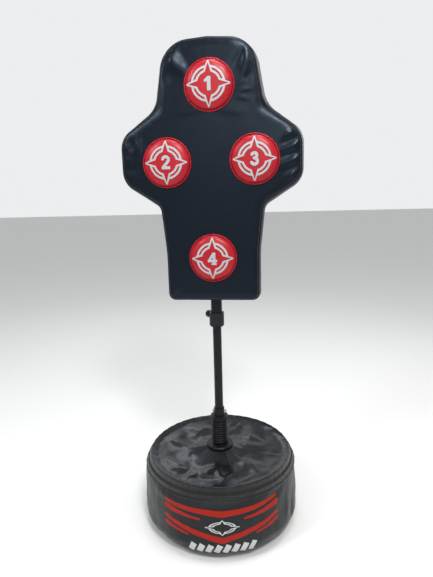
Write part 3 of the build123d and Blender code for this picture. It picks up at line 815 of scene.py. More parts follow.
def outline(corners, counts=None):
    """The closed outline through rounded corners, both halves, as an array of (x, z) in metres.

    counts says how many points each run and arc gets, so that two outlines match point for point.
    """
    ends = [(0.0, corners[0][0][1])] + [c for c, r in corners] + [(0.0, corners[-1][0][1] + CROWN)]
    ends = [Vector((x * MM, PAD_FOOT + z * MM)) for x, z in ends]
    runs, arcs, here = [], [], ends[0]
    for i in range(1, len(ends) - 1):
        before = (ends[i - 1] - ends[i]).normalized()
        after = (ends[i + 1] - ends[i]).normalized()
        half_turn = (math.pi - before.angle(after)) / 2
        radius = corners[i - 1][1] * MM
        reach = radius * math.tan(half_turn)
        start, finish = ends[i] + before * reach, ends[i] + after * reach
        centre = ends[i] + (before + after).normalized() * radius / math.cos(half_turn)
        runs.append((here, start))
        first, last = start - centre, finish - centre
        first_turn = math.atan2(first.y, first.x)
        sweep = first.angle_signed(last)
        arcs.append((centre, radius, first_turn, -sweep))
        here = finish
    runs.append((here, ends[-1]))
    if counts is None:
        counts = []
        for i, run in enumerate(runs):
            counts.append(max(2, round((run[1] - run[0]).length / SEAM_STEP)))
            if i < len(arcs):
                counts.append(max(3, round(arcs[i][1] * abs(arcs[i][3]) / SEAM_STEP)))
    half = []
    for i, (start, finish) in enumerate(runs):
        for k in range(counts[2 * i]):
            half.append(start.lerp(finish, k / counts[2 * i]))
        if i < len(arcs):
            centre, radius, first_turn, sweep = arcs[i]
            for k in range(counts[2 * i + 1]):
                turn = first_turn + sweep * k / counts[2 * i + 1]
                half.append(centre + radius * Vector((math.cos(turn), math.sin(turn))))
    half.append(ends[-1])
    right = [tuple(p) for p in half]
    left = [(-x, z) for x, z in right[-2:0:-1]]
    return np.array(right + left), counts


silhouette, seam_counts = outline(SILHOUETTE)
front_seam = outline(FRONT_SEAM, seam_counts)[0]
SEAM_POINTS = len(front_seam)


def inward(loop, distance):
    """The loop moved inwards by a distance, point for point."""
    along = np.roll(loop, -1, 0) - np.roll(loop, 1, 0)
    along /= np.linalg.norm(along, axis=1)[:, None]
    return loop + distance * np.stack([-along[:, 1], along[:, 0]], 1)


def loop_distance(points, loop):
    """Each point's distance from a closed loop."""
    starts, steps = loop, np.roll(loop, -1, 0) - loop
    away = points[:, None, :] - starts[None]
    t = np.clip((away * steps).sum(2) / (steps**2).sum(1), 0, 1)
    return np.sqrt(((away - t[..., None] * steps) ** 2).sum(2)).min(1)


def inside_loop(points, loop):
    """True for points inside a closed loop."""
    x, y = points[:, 0][:, None], points[:, 1][:, None]
    x1, y1 = loop[:, 0], loop[:, 1]
    x2, y2 = np.roll(x1, -1), np.roll(y1, -1)
    crosses = (y1 > y) != (y2 > y)
    with np.errstate(divide="ignore", invalid="ignore"):
        where = (x2 - x1) * (y - y1) / (y2 - y1) + x1
    return (crosses & (x < where)).sum(1) % 2 == 1


def panel(rims, holes, spacing):
    """A flat sheet of even triangles, as points and faces.

    rims are closed loops kept as rows of points, outermost first; holes are loops left open.
    """
    outer = rims[0]
    lo, hi = outer.min(0), outer.max(0)
    rows = []
    height = spacing * math.sqrt(3) / 2
    for j in range(int((hi[1] - lo[1]) / height) + 2):
        for i in range(int((hi[0] - lo[0]) / spacing) + 2):
            rows.append((lo[0] + (i + 0.5 * (j % 2)) * spacing, lo[1] + j * height))
    field = np.array(rows)
    keep = inside_loop(field, rims[-1]) & (loop_distance(field, rims[-1]) > 0.55 * spacing)
    for hole in holes:
        keep &= ~inside_loop(field, hole) & (loop_distance(field, hole) > 0.55 * spacing)
    loops = list(rims) + list(holes)
    fixed = np.concatenate(loops)
    points = np.concatenate([fixed, field[keep]])
    edges, start = [], 0
    for loop in loops:
        edges += [(start + k, start + (k + 1) % len(loop)) for k in range(len(loop))]
        start += len(loop)
    made, _, faces, _, _, _ = delaunay_2d_cdt([Vector(p) for p in points], edges, [], 0, 1e-7)
    made = np.array([tuple(p) for p in made])
    middles = np.array([made[list(f)].mean(0) for f in faces])
    good = inside_loop(middles, outer)
    for hole in holes:
        good &= ~inside_loop(middles, hole)
    return made, [tuple(f) for f, ok in zip(faces, good) if ok]


SMOOTHING_ROUNDS = 4


def smoothed(piece, travel, hold):
    """The cloth's movement with the finest crinkles averaged away; pinned points stay."""
    edges = np.array([tuple(e.vertices) for e in piece.data.edges])
    degree = np.bincount(edges.ravel(), minlength=len(travel))[:, None]
    free = (np.asarray(hold) < 1)[:, None]
    for _ in range(SMOOTHING_ROUNDS):
        total = np.zeros_like(travel)
        np.add.at(total, edges[:, 0], travel[edges[:, 1]])
        np.add.at(total, edges[:, 1], travel[edges[:, 0]])
        travel = np.where(free, 0.5 * travel + 0.5 * total / np.maximum(degree, 1), travel)
    return travel


def simulate(piece, hold, frames, slack=0.0, pressure=0.0, gravity=0.0, bending=0.4,
             stiffness=18.0, cap=0.01):
    """Runs Blender's cloth on the piece and keeps the result, with no point moved beyond cap.

    hold is each vertex's pin weight.
    """
    group = piece.vertex_groups.new(name="hold")
    for index, weight in enumerate(hold):
        if weight > 0:
            group.add([index], float(weight), "REPLACE")
    rest = np.array([tuple(v.co) for v in piece.data.vertices])
    modifier = piece.modifiers.new("cloth", "CLOTH")
    cloth = modifier.settings
    cloth.quality = 6
    cloth.mass = 0.25
    cloth.tension_stiffness = cloth.compression_stiffness = stiffness
    cloth.shear_stiffness = stiffness * 0.5
    cloth.bending_stiffness = bending
    cloth.air_damping = 2.0
    cloth.vertex_group_mass = "hold"
    cloth.pin_stiffness = 1.0
    cloth.shrink_min = -slack
    cloth.effector_weights.gravity = gravity
    if pressure:
        cloth.use_pressure = True
        cloth.uniform_pressure_force = pressure
    modifier.collision_settings.use_collision = True
    modifier.collision_settings.distance_min = 0.001
    modifier.point_cache.frame_start = 1
    modifier.point_cache.frame_end = frames
    scene = bpy.context.scene
    for step in range(1, frames + 1):
        scene.frame_set(step)
    graph = bpy.context.evaluated_depsgraph_get()
    shape = piece.evaluated_get(graph).to_mesh()
    moved = np.array([tuple(v.co) for v in shape.vertices])
    piece.modifiers.remove(modifier)
    piece.vertex_groups.clear()
    scene.frame_set(1)
    travel = smoothed(piece, moved - rest, hold)
    length = np.linalg.norm(travel, axis=1)
    share = np.where(length > cap, cap / np.maximum(length, 1e-9), 1.0)
    place = rest + travel * share[:, None]
    piece.data.vertices.foreach_set("co", place.ravel())
    piece.data.update()
    return place


PANEL_SPACING = 7 * MM
EDGE_ROLL, CROWN_REACH = 24 * MM, 75 * MM
GUSSET_ROWS = 14


def panel_depth(distance):
    """How far a face panel stands out from its seam: a quick roll, then a slow crown."""
    roll = math.sin(math.pi / 2 * min(distance / EDGE_ROLL, 1)) ** 0.8
    crown = smooth_step(0, CROWN_REACH, distance)
    return SEAM_DEPTH * (0.7 * roll + 0.3 * crown)


def crease(x, z, cx, cz, angle, length, width, height):
    """One soft fold: a ridge of the given length and width about a point."""
    turn = math.radians(angle)
    along = (x - cx) * math.cos(turn) + (z - cz) * math.sin(turn)
    aside = -(x - cx) * math.sin(turn) + (z - cz) * math.cos(turn)
    fall = max(1 - (along / length) ** 2, 0)
    return height * fall**1.5 * math.exp(-((aside / width) ** 2))


# folds of the front panel in mm: x, height above the foot, angle, half length, half width, height
FRONT_FOLDS = [
    (-90, 624, -52, 46, 15, 6.4), (-112, 596, -72, 34, 10, -3.0), (-60, 640, -48, 40, 12, -3.0),
    (-60, 596, -70, 34, 10, 2.0), (96, 613, 80, 60, 9, 2.8), (78, 624, 60, 40, 9, -2.6),
    (90, 548, 8, 24, 4.5, 2.4), (88, 530, -14, 22, 4.5, 1.9), (102, 580, 42, 26, 8, -1.8),
    (84, 566, 24, 20, 4, 1.6), (-40, 505, 12, 50, 9, 1.2), (60, 500, -8, 50, 10, 1.2),
    (-224, 420, 84, 15, 5, 4.4), (-209, 424, 80, 22, 6, -3.6), (-191, 420, 76, 26, 7, 3.6),
    (-178, 424, 70, 24, 7, -1.6), (-228, 386, 4, 22, 6, 2.2), (-222, 362, 2, 40, 7, -1.8),
    (-215, 340, -6, 44, 8, 1.8), (212, 442, 22, 38, 6, 3.6), (214, 424, 20, 40, 6, -3.6),
    (210, 406, 18, 46, 7, 4.0), (210, 388, 12, 44, 6, -3.4), (210, 371, 22, 46, 7, 3.8),
    (216, 354, 30, 34, 6, -3.2), (220, 336, 8, 30, 8, 4.6), (206, 318, 20, 34, 7, -3.0),
    (190, 308, 40, 26, 7, 1.8), (-112, 30, 50, 26, 8, 3.2), (-98, 20, 60, 26, 8, -1.8),
    (-116, 60, 84, 30, 7, 1.4), (112, 23, -60, 24, 8, 1.8), (118, 90, 86, 60, 8, 1.2),
]


BACK_FOLDS = [
    (-88, 628, -50, 46, 11, 3.8), (-62, 642, -42, 34, 9, -2.4), (92, 622, 54, 46, 11, 3.4),
    (-96, 560, -78, 40, 9, 2.4), (98, 548, 80, 40, 9, 2.2), (218, 424, 20, 40, 7, 3.4),
    (213, 404, 10, 44, 7, -3.0), (212, 382, -2, 44, 7, 3.4), (214, 360, -14, 40, 7, -2.8),
    (218, 342, -24, 34, 7, 3.0), (-218, 428, -24, 38, 7, 3.4), (-214, 408, -12, 44, 7, -2.8),
    (-212, 386, 0, 44, 7, 3.2), (-213, 362, 12, 42, 7, -3.0), (-218, 342, 26, 34, 7, 3.0),
    (-112, 268, 42, 40, 9, 2.6), (112, 266, -40, 40, 9, 2.8), (-118, 490, -40, 44, 10, 2.2),
    (120, 488, 42, 44, 10, 2.4), (-104, 26, 50, 30, 9, 2.6), (106, 24, -48, 30, 9, 2.4),
]
BACK_SEAM_TOP = 560 * MM
BACK_SEAM_HALF = 6 * MM
BACK_SEAM_FOOT = 12 * MM
SEAM_PUCKERS = [(0, 40 + 52 * k, (-1) ** k * 9, 52, 8, 1.3 - 2.2 * (k % 2)) for k in range(10)]


def relief(folds, x, z):
    """The folds' height at a point of a panel; fold sizes are in mm above the pad's foot."""
    total = 0.0
    for cx, cz, angle, length, width, height in folds:
        total += crease(
            x, z, cx * MM, PAD_FOOT + cz * MM, angle, length * MM, width * MM, height * MM
        )
    return total


def back_relief(x, z):
    """The back cover: broad hollows, folds at its corners and a puckered seam up its middle."""
    hollows = 0.0018 * soft_noise(x * 11, z * 11, 7.7) + 0.001 * soft_noise(x * 24, z * 20, 3.1)
    ends = smooth_step(BACK_SEAM_TOP + 0.04, BACK_SEAM_TOP, z - PAD_FOOT)
    valley = 0.004 * ends * math.exp(-((x / 0.009) ** 2))
    return hollows + relief(BACK_FOLDS, x, z) + relief(SEAM_PUCKERS, x, z) - valley


def make_pad():
    """The cover's closed shell after the cloth run: its points and each panel's faces."""
    rims = [front_seam, inward(front_seam, 4 * MM), inward(front_seam, 9 * MM)]
    flat, faces = panel(rims, [], PANEL_SPACING)
    distance = loop_distance(flat, front_seam)
    count = len(flat)
    seam_front = FRONT + SEAM_DEPTH
    seam_back = BACK - SEAM_DEPTH
    front_points, back_points = [], []
    for (x, z), d in zip(flat, distance):
        away = smooth_step(0.004, 0.02, d)
        front_points.append((x, seam_front - panel_depth(d) - away * relief(FRONT_FOLDS, x, z), z))
        back_points.append((x, seam_back + panel_depth(d) + away * back_relief(x, z), z))
    points = front_points + back_points
    front_faces = [tuple(f) for f in faces]
    back_faces = [tuple(count + i for i in f[::-1]) for f in faces]
    rows = []
    for row in range(1, GUSSET_ROWS):
        t = row / GUSSET_ROWS
        swell = math.sin(math.pi * t) ** 0.6
        depth = seam_front + (seam_back - seam_front) * t
        loop = front_seam + (silhouette - front_seam) * swell
        start = len(points)
        for k, (x, z) in enumerate(loop):
            ripple = 0.0022 * swell * soft_noise(x * 30, z * 30, t * 3.0)
            points.append((x * (1 + ripple), depth, z + ripple * 0.4))
        rows.append([start + k for k in range(SEAM_POINTS)])
    rows = [list(range(SEAM_POINTS))] + rows + [[count + k for k in range(SEAM_POINTS)]]
    gusset_faces = []
    for upper, lower in zip(rows, rows[1:]):
        for k in range(SEAM_POINTS):
            k2 = (k + 1) % SEAM_POINTS
            gusset_faces.append((upper[k], lower[k], lower[k2], upper[k2]))
    whole = new_piece("pad_whole", points, front_faces + gusset_faces + back_faces)
    hold = np.zeros(len(points))
    for i, d in enumerate(distance):
        weight = 1.0 if d < 0.001 else 0.35 + 0.60 * smooth_step(0.015, 0.055, d)
        hold[i] = hold[count + i] = weight
    hold[2 * count:] = 0.30
    points = simulate(
        whole, hold, 22, slack=0.007, pressure=0.5, bending=2.5, cap=0.009,
    )
    bpy.data.objects.remove(whole)
    return np.array(points), count, front_faces, gusset_faces, back_faces


pad_points, PANEL_COUNT, front_faces, gusset_faces, back_faces = make_pad()


def pad_piece(name, faces, node):
    """One sewn panel of the simulated cover as its own piece."""
    used = sorted({i for f in faces for i in f})
    number = {old: new for new, old in enumerate(used)}
    piece = new_piece(name, pad_points[used], [[number[i] for i in f] for f in faces], PAD)
    subdivide(piece)
    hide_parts(node)
    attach(piece, "torso")


pad_piece("pad_front_panel", front_faces, "pad_front_cover")
pad_piece("pad_gusset_band", gusset_faces, "pad_side_gusset")
pad_piece("pad_back_panel", back_faces, "pad_back_cover")


STITCH_LENGTH, STITCH_PITCH = 4.2 * MM, 6.4 * MM
THREAD_RADIUS, STITCH_SINK = 0.55 * MM, 0.15 * MM


def stitch_row(name, line, normals, body, slot, closed=True):
    """Separate stitches along a line of points, each dipping into the cloth at its ends."""
    line, normals = np.asarray(line, float), np.asarray(normals, float)
    if closed:
        line = np.concatenate([line, line[:1]])
        normals = np.concatenate([normals, normals[:1]])
    steps = np.linalg.norm(np.diff(line, axis=0), axis=1)
    reach = np.concatenate([[0], np.cumsum(steps)])

    def at(s):
        spot = np.array([np.interp(s, reach, line[:, k]) for k in range(3)])
        out = np.array([np.interp(s, reach, normals[:, k]) for k in range(3)])
        return spot, out / np.linalg.norm(out)

    parts = []
    for k in range(int(reach[-1] / STITCH_PITCH)):
        spots = []
        for share in (0, 0.2, 0.5, 0.8, 1):
            spot, out = at(k * STITCH_PITCH + share * STITCH_LENGTH)
            lift = THREAD_RADIUS * (0.7 if 0 < share < 1 else -0.8) - STITCH_SINK
            spots.append(spot + out * lift)
        parts.append(tube_along(spots, THREAD_RADIUS, 6))
    piece = new_piece(name, *gather(parts), THREAD)
    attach(piece, body)


def rim_line(start, side):
    """The row of panel points that starts at an index, with outward normals."""
    line = pad_points[start:start + SEAM_POINTS]
    return line, np.tile((0, side, 0), (SEAM_POINTS, 1))


stitch_row("pad_front_stitching", *rim_line(SEAM_POINTS, -1), "torso", "pad_pu")
stitch_row("pad_back_stitching", *rim_line(PANEL_COUNT + SEAM_POINTS, 1), "torso", "pad_pu")

back_points = pad_points[PANEL_COUNT:2 * PANEL_COUNT]


def on_back(x, z):
    """The point of the simulated back cover at x and z, from its nearest mesh points."""
    gaps = (back_points[:, 0] - x) ** 2 + (back_points[:, 2] - z) ** 2
    near = np.argsort(gaps)[:5]
    weights = 1 / (gaps[near] + (1 * MM) ** 2)
    return (x, float(back_points[near, 1] @ weights / weights.sum()), z)


for side, label in ((-1, "left"), (1, "right")):
    seam = [
        on_back(
            side * BACK_SEAM_HALF,
            PAD_FOOT + BACK_SEAM_FOOT + (BACK_SEAM_TOP - BACK_SEAM_FOOT) * k / 80,
        )
        for k in range(81)
    ]
    stitch_row(
        f"pad_back_seam_stitching_{label}", seam, np.tile((0, 1, 0), (len(seam), 1)),
        "torso", "pad_pu", closed=False,
    )


FOAM_INSET, FOAM_SPACING = 9 * MM, 22 * MM


def foam_block(name, node, front, back):
    """A foam slab inside the cover, with soft edges."""
    core = inward(silhouette, FOAM_INSET)
    flat, faces = panel([core], [], FOAM_SPACING)
    distance = loop_distance(flat, core)
    count = len(flat)
    points = []
    for face_y, side in ((front, 1), (back, -1)):
        for (x, z), d in zip(flat, distance):
            points.append((x, face_y + side * 0.004 * (1 - smooth_step(0, 0.012, d)), z))
    made = [tuple(f) for f in faces] + [tuple(count + i for i in f[::-1]) for f in faces]
    ring = len(core)
    made += [(k, count + k, count + (k + 1) % ring, (k + 1) % ring) for k in range(ring)]
    piece = new_piece(name, points, made, FOAM)
    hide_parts(node)
    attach(piece, "torso")


board_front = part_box("backing_board")[0].y
saddle_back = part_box("tube_saddles")[1].y
foam_block("front_foam_block", "pad_front_foam", FRONT + 12 * MM, board_front - 4 * MM)
foam_block("back_foam_block", "pad_back_foam", saddle_back + 1 * MM, BACK - 9 * MM)

# ---------------------------------------------------------------- weight bag

foot_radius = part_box("bag_bottom")[1].x
wall_lo, wall_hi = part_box("bag_side_wall")
bulge_radius = wall_hi.x
shoulder_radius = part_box("zip_tape_outer")[1].x
shoulder_height = wall_hi.z
lid_lo, lid_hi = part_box("bag_lid")
rim_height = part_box("zip_tape_inner")[1].z
rim_radius = lid_hi.x + 0.8 * MM
BULGE_HEIGHT = 0.056
WALL_SEGMENTS, TUCK_ROWS, WALL_ROWS = 300, 16, 36


def arc_radius(inset, rise):
    """The radius of an arc that starts upright and comes in by inset over rise."""
    return (inset**2 + rise**2) / (2 * inset)


TUCK_RADIUS = arc_radius(bulge_radius - foot_radius, BULGE_HEIGHT - wall_lo.z)
SIDE_RADIUS = arc_radius(bulge_radius - shoulder_radius, shoulder_height - BULGE_HEIGHT)


def wall_profile(z):
    """The bag's radius at a height, without dents."""
    curve = TUCK_RADIUS if z < BULGE_HEIGHT else SIDE_RADIUS
    return bulge_radius - curve + math.sqrt(max(curve**2 - (z - BULGE_HEIGHT) ** 2, 0))


def wall_heights():
    """Row heights: close together round the tucked foot, then even up to the shoulder."""
    reach = math.asin((BULGE_HEIGHT - wall_lo.z) / TUCK_RADIUS)
    turns = [reach * (1 - k / TUCK_ROWS) for k in range(TUCK_ROWS)]
    low = [BULGE_HEIGHT - TUCK_RADIUS * math.sin(turn) for turn in turns]
    rise = shoulder_height - BULGE_HEIGHT
    return low + [BULGE_HEIGHT + rise * k / WALL_ROWS for k in range(WALL_ROWS + 1)]


# dents and folds of the wall: angle from the front in degrees, height, tilt, half length,
# half width and depth in mm
WALL_FOLDS = [
    (8, 168, 4, 90, 12, -3.0), (-30, 162, -6, 70, 10, 2.0), (44, 160, 10, 60, 12, -2.6),
    (62, 90, 82, 60, 9, 2.2), (70, 84, 78, 64, 10, -3.0), (-66, 110, 84, 50, 9, 2.0),
    (-74, 90, 80, 56, 12, -3.2), (-20, 36, 20, 60, 10, -2.4), (26, 30, -12, 70, 9, 2.2),
    (150, 112, 60, 60, 12, -3.0), (200, 92, 100, 60, 14, 2.5), (240, 140, 20, 70, 11, -2.5),
    (110, 60, -30, 60, 12, 2.6), (-120, 70, 30, 60, 12, -2.6), (175, 56, 8, 90, 12, 2.2),
    (-44, 22, 30, 46, 9, -3.0), (52, 24, -24, 46, 9, -2.4), (3, 20, 6, 50, 8, 2.4),
]
PRINT_TURN = CAMERA_TURN


def wall_point(turn, z, lift=0.0):
    """A point on the bag's wall; turn is the angle from the front, towards +X."""
    slack = smooth_step(0.0, 0.02, z) * smooth_step(shoulder_height, shoulder_height - 0.012, z)
    radius = wall_profile(z)
    dent = 0.0025 * soft_noise(3 * math.cos(turn), 3 * math.sin(turn), z * 9)
    dent += 0.0011 * soft_noise(9 * math.cos(turn), 9 * math.sin(turn), z * 26, 4.0)
    for angle, height, tilt, length, width, depth in WALL_FOLDS:
        gap = wrapped(turn - math.radians(angle))
        if abs(gap) < 0.7:
            dent += crease(
                gap * radius, z, 0, height * MM, tilt, length * MM, width * MM, depth * MM
            )
    gathers = smooth_step(shoulder_height - 0.035, shoulder_height - 0.008, z)
    dent += 0.0004 * gathers * math.sin(turn * 74 + 3 * math.sin(turn * 5))
    hem = smooth_step(0.030, 0.004, z)
    dent += 0.0005 * hem * math.sin(turn * 60 + 4 * math.sin(turn * 4))
    return polar(radius + (dent * slack + lift), turn, z)


def make_wall():
    heights = wall_heights()
    points = [wall_point(turn, z) for z in heights for turn in full_turn(WALL_SEGMENTS)]
    wall = new_piece("bag_wall", points, grid_faces(len(heights), WALL_SEGMENTS), BAG)
    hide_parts("bag_side_wall")
    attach(wall, "base")


make_wall()


BAND_ROWS, BAND_WAVES, BAND_SEGMENTS = 6, 70, 300


def bag_band(name, radius_in, height_in, radius_out, height_out, material, slot, start=0.0,
             sweep=2 * math.pi, swell=0.0, ripple=0.0):
    """A strip round the shoulder between two circles, swelling out between them."""
    full = sweep == 2 * math.pi
    segments = int(BAND_SEGMENTS * sweep / (2 * math.pi))
    columns = segments + (0 if full else 1)
    normal = Vector((height_in - height_out, radius_out - radius_in)).normalized()
    points = []
    for row in range(BAND_ROWS + 1):
        t = row / BAND_ROWS
        rise = swell * math.sin(math.pi * t)
        for k in range(columns):
            turn = start + sweep * k / segments
            wave = ripple * math.sin(turn * BAND_WAVES + 2 * math.sin(turn * 3))
            wave *= math.sin(math.pi * t)
            radius = radius_out + (radius_in - radius_out) * t + normal.x * (rise + wave)
            height = height_out + (height_in - height_out) * t + normal.y * (rise + wave)
            points.append(polar(radius, turn, height))
    faces = grid_faces(BAND_ROWS + 1, columns, closed_columns=full)
    piece = new_piece(name, points, faces, material)
    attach(piece, "base")
    return piece


# the shoulder: from the wall's top edge up to the lid's rim
band_run = Vector((rim_radius - shoulder_radius, rim_height - shoulder_height))
band_out = Vector((band_run.y, -band_run.x)).normalized()


def band_spot(share, proud=0.0):
    """(radius, height) on the shoulder band, share 0 at the wall and 1 at the lid."""
    spot = Vector((shoulder_radius, shoulder_height)) + band_run * share + band_out * proud
    return spot.x, spot.y


(outer_r, outer_z), (mid_r, mid_z), (inner_r, inner_z) = (band_spot(s) for s in (0, 0.5, 1))
tape_out = bag_band("zip_tape_lower", mid_r, mid_z, outer_r, outer_z, TAPE, "zip_tape",
                    swell=0.6 * MM, ripple=0.3 * MM)
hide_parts("zip_tape_outer")
tape_in = bag_band("zip_tape_upper", inner_r, inner_z, mid_r, mid_z, TAPE, "zip_tape",
                   swell=0.6 * MM, ripple=0.3 * MM)
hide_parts("zip_tape_inner")


FOLD_WAVES, FOLD_WANDER, FOLD_PROUD = 41, 0.4 * MM, 0.4 * MM


def edge_fold(name, share, radius, material):
    """A folded edge that runs round the bag's shoulder."""
    points = []
    for turn in full_turn(320):
        wander = FOLD_WANDER * math.sin(turn * FOLD_WAVES + math.sin(turn * 3))
        r, z = band_spot(share, FOLD_PROUD + wander)
        points.append(polar(r, turn, z))
    piece = new_piece(name, *tube_along(points, radius, 10, True), material)
    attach(piece, "base")


edge_fold("wall_top_fold", 0.02, 1.5 * MM, BAG)
edge_fold("lid_rim_fold", 0.98, 1.4 * MM, LID)


ZIP_PITCH = 2.6 * MM
ZIP_HALF_GAP = math.radians(27)
# one loop of the coil in mm: across the zip, proud of it, and its slip along the zip
TOOTH_PATH = [(-3.0, 0.7, -1), (-2.2, 1.7, -0.5), (0, 2.3, 0), (2.2, 1.7, 0.5), (3.0, 0.7, 1)]


def make_zip_teeth():
    """The nylon coil: small loops across the zip, all round but for the sewn stretch behind."""
    sweep = 2 * math.pi - 2 * ZIP_HALF_GAP
    count = int(sweep * mid_r / ZIP_PITCH)
    parts = []
    for k in range(count):
        turn = math.pi + ZIP_HALF_GAP + sweep * k / count
        lean = 0.35 * ZIP_PITCH / mid_r * (1 if k % 2 else -1)
        spots = []
        for share, proud, slip in TOOTH_PATH:
            along = share * MM / band_run.length
            r, z = band_spot(0.5 + along, proud * MM)
            spots.append(polar(r, turn + lean * slip, z))
        parts.append(tube_along(spots, 0.75 * MM, 6))
    teeth = new_piece("zip_teeth", *gather(parts), NYLON_COIL)
    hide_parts("zip_coil")
    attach(teeth, "base")


make_zip_teeth()

HINGE_HALF = math.radians(25)
hinge = bag_band("lid_sewn_hinge", *band_spot(1, 1.0 * MM), *band_spot(0, 1.0 * MM), BAG, "bag_pu",
                 start=math.pi - HINGE_HALF, sweep=2 * HINGE_HALF, swell=1.5 * MM, ripple=0.5 * MM)
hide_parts("lid_hinge")


def ring_normals(up):
    """Unit normals round the bag that lean up by the given share."""
    flat = math.sqrt(1 - up * up)
    return [polar(flat, turn, up) for turn in full_turn(360)]


seam_height = shoulder_height - 5 * MM
wall_seam = [wall_point(turn, seam_height) for turn in full_turn(360)]
stitch_row("wall_top_stitching", wall_seam, ring_normals(0.1), "base", "bag_pu")

FILL_SEGMENTS, FILL_RINGS = 120, 30
fill_outer = lid_hi.x - 4 * MM
fill_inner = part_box("riser_tube")[1].x + 1 * MM


def fill_height(x, y):
    """The heaped fill's height: soft lumps, level at its edge."""
    share = unit((math.hypot(x, y) - fill_inner) / (fill_outer - fill_inner))
    lumps = soft_noise(x * 13, y * 13, 1.7) * 0.008 + soft_noise(x * 28, y * 28, 5.2) * 0.003
    edge = smooth_step(0.6, 1.0, share)
    return lid_lo.z - 12 * MM + lumps * (1 - edge) + 4 * MM * edge


# the granules have sunk this far from the height that the lid took its shape from
FILL_SETTLE = 4 * MM


def make_fill():
    """The granule fill, heaped into soft lumps under the lid."""
    points = []
    for ring in range(FILL_RINGS + 1):
        radius = fill_inner + (fill_outer - fill_inner) * ring / FILL_RINGS
        for turn in full_turn(FILL_SEGMENTS):
            x, y, _ = polar(radius, turn, 0)
            points.append((x, y, fill_height(x, y) - FILL_SETTLE))
    faces = grid_faces(FILL_RINGS + 1, FILL_SEGMENTS)
    skirt = len(points)
    for z, radius in ((0.120, fill_outer), (0.02, 0.85 * fill_outer), (0.02, fill_inner)):
        points += [polar(radius, turn, z) for turn in full_turn(FILL_SEGMENTS)]
    rows = [FILL_RINGS * FILL_SEGMENTS] + [skirt + k * FILL_SEGMENTS for k in range(3)] + [0]
    for upper, lower in zip(rows, rows[1:]):
        for k in range(FILL_SEGMENTS):
            k2 = (k + 1) % FILL_SEGMENTS
            faces.append((upper + k, upper + k2, lower + k2, lower + k))
    fill = new_piece("granule_fill", points, faces, FILL)
    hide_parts("bag_fill")
    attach(fill, "base")


make_fill()


# creases of the lid: angle from the front in degrees, radius, tilt, half length, half width and
# height in mm
LID_FOLDS = [
    (-8, 118, 62, 46, 10, 3.4), (6, 126, 108, 42, 10, 2.8), (-2, 158, 12, 40, 10, -1.8),
    (16, 148, 40, 40, 7, 3.4), (-24, 160, 74, 30, 8, 4.0), (-34, 150, 100, 34, 9, -3.2),
    (-42, 158, 50, 34, 8, 4.2), (-58, 150, 20, 40, 9, 3.0), (-14, 176, 4, 44, 6, 3.0),
    (30, 176, 16, 40, 6, 2.4), (52, 130, 60, 44, 9, 3.0), (84, 150, 80, 40, 9, 2.6),
    (130, 120, 30, 50, 10, 3.0), (170, 150, 70, 44, 9, -3.0), (215, 130, 20, 50, 10, 3.0),
    (-100, 140, 65, 44, 9, 2.8), (100, 90, 20, 36, 8, 2.4), (-80, 90, -30, 36, 8, 2.2),
]


def lid_relief(x, y):
    """The height of the lid's creases at a point."""
    total = 0.0
    for angle, radius, tilt, length, width, height in LID_FOLDS:
        turn = math.radians(angle)
        cx, cy = radius * MM * math.sin(turn), -radius * MM * math.cos(turn)
        total += crease(x, y, cx, cy, tilt + angle, length * MM, width * MM, height * MM)
    return total


def rest_on_fill(x, y, z):
    """The lid's height where it meets the fill: it lies on the lumps and never goes under them."""
    clear = z - fill_height(x, y) - 2.5 * MM
    softness = 2 * MM
    return z - clear + (clear + math.sqrt(clear * clear + softness * softness)) / 2


def circle(radius, count):
    """Flat points round a circle, as an array."""
    turns = np.arange(count) * 2 * math.pi / count
    return np.stack([radius * np.cos(turns), radius * np.sin(turns)], 1)


LID_SPACING = 5.5 * MM


def make_lid():
    """The lid: slack coated fabric sewn at its rim, sagging on to the lumpy fill by simulation."""
    rim = circle(rim_radius, int(2 * math.pi * rim_radius / LID_SPACING))
    hole_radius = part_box("riser_tube")[1].x + 2 * MM
    hole = circle(hole_radius, 40)
    flat, faces = panel([rim, rim * (1 - 4 * MM / rim_radius)], [hole], LID_SPACING)
    points = []
    for x, y in flat:
        share = unit((math.hypot(x, y) - hole_radius) / (rim_radius - hole_radius))
        level = lid_hi.z + (rim_height - lid_hi.z) * share
        start = 0.002 * soft_noise(x * 16, y * 16, 9.1) * math.sin(math.pi * share)
        points.append((x, y, level + start))
    lid = new_piece("bag_lid_fabric", points, faces, LID)
    hold = []
    for x, y in flat:
        rho = math.hypot(x, y)
        fixed = rho > rim_radius - 0.001 or rho < hole_radius + 0.004
        hold.append(1.0 if fixed else 0.0)
    simulate(lid, hold, 40, slack=0.045, gravity=0.6, bending=0.5, stiffness=14, cap=0.020)
    for vertex in lid.data.vertices:
        x, y, z = vertex.co
        if hold[vertex.index] < 1:
            edge = smooth_step(rim_radius, rim_radius - 0.02, math.hypot(x, y))
            vertex.co.z = rest_on_fill(x, y, z) + edge * lid_relief(x, y)
    subdivide(lid)
    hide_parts("bag_lid")
    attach(lid, "base")


make_lid()

# prints on the wall: plain stripes, a crosshair and a row of slanted bars
EMBLEM_RADIUS, EMBLEM_STRETCH, EMBLEM_HEIGHT = 25, 2.1, 108
BAR_COUNT, BAR_PITCH, BAR_LOW, BAR_HIGH, BAR_SLANT, BAR_HALF = 8, 24, 30, 56, 6, 8

# nested chevrons in mm: height at the middle, half gap there, height at the ends, half thickness
# inside and at the ends
CHEVRONS = [(147, 0, 160, 8.5, 5), (122, 62, 142, 3, 8.5), (70, 0, 112, 9, 6), (62, 96, 92, 3, 6)]
CHEVRON_REACH = 166
BAG_PRINT_LIFT = 0.35 * MM


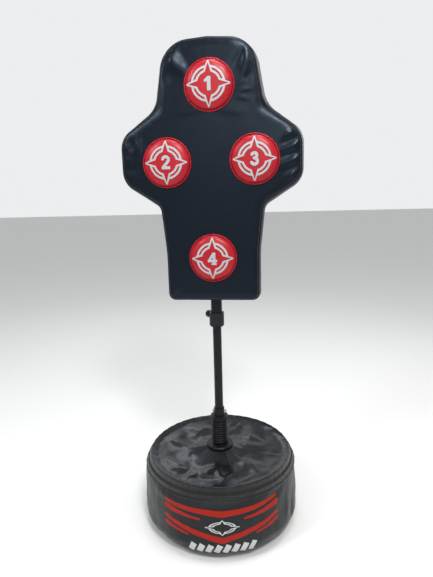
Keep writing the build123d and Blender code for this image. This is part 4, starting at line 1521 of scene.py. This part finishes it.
def bag_shapes_red():
    """Nested chevrons, in mm from the front of the bag and the floor."""
    shapes = []
    for middle, gap, end, inner_half, outer_half in CHEVRONS:
        start = middle + (end - middle) * gap / CHEVRON_REACH
        for side in (-1, 1):
            shapes.append(taper(
                (side * gap, start), (side * CHEVRON_REACH, end), inner_half, outer_half
            ))
    return shapes


def bag_shapes_white():
    """A row of slanted bars, in the same measure."""
    shapes = []
    for bar in range(BAR_COUNT):
        x = (bar - (BAR_COUNT - 1) / 2) * BAR_PITCH
        shapes.append(square_stroke(x - BAR_SLANT, BAR_LOW, x + BAR_SLANT, BAR_HIGH, BAR_HALF))
    return shapes


def on_wall(x, y):
    """The point of the wall, just proud of it, at x mm round from the front and y mm up."""
    turn = x * MM / bulge_radius + PRINT_TURN
    return wall_point(turn, y * MM, BAG_PRINT_LIFT)


def make_bag_prints():
    red = decal(
        "bag_print_stripes", bag_shapes_red(), (-180, 54), (180, 172), 2.0, on_wall, RED_PRINT
    )
    white = decal(
        "bag_print_bars", bag_shapes_white(), (-112, 26), (112, 62), 1.5, on_wall, WHITE_PRINT
    )
    emblem = decal(
        "bag_print_crosshair", reticle(), (-1, -1), (1, 1), 1.0 / EMBLEM_RADIUS,
        lambda x, y: on_wall(
            x * EMBLEM_RADIUS * EMBLEM_STRETCH, EMBLEM_HEIGHT + y * EMBLEM_RADIUS
        ),
        WHITE_PRINT,
    )
    for piece in (red, white, emblem):
        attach(piece, "base")


make_bag_prints()

# ---------------------------------------------------------------- spring

SPRING_TURNS = 10
SPRING_SIDES = 14
SPRING_WIRE = 6.5 * MM
STEPS_PER_TURN = 40


def make_spring():
    """The coil as two halves, split at its middle; they are not attached to the two sway joints."""
    lo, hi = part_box("coil_spring")
    wire = SPRING_WIRE / 2
    radius = (hi.x - lo.x) / 2 - wire
    bottom, top = lo.z + wire, hi.z - wire
    middle = (bottom + top) / 2
    steps = SPRING_TURNS * STEPS_PER_TURN
    path = []
    for k in range(steps + 1):
        turn = 2 * math.pi * SPRING_TURNS * k / steps
        height = bottom + (top - bottom) * k / steps
        path.append((radius * math.cos(turn), radius * math.sin(turn), height))
    half = steps // 2
    for name, stretch, lower, upper, low_z, high_z in (
        ("spring_lower_half", path[:half + 1], "base", "spring_mid", lo.z, middle),
        ("spring_upper_half", path[half:], "spring_mid", "lower_pole", middle, hi.z),
    ):
        piece = new_piece(name, *tube_along(stretch, wire, SPRING_SIDES), SPRING_PAINT)
        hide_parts("coil_spring")
        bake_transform(piece)


make_spring()
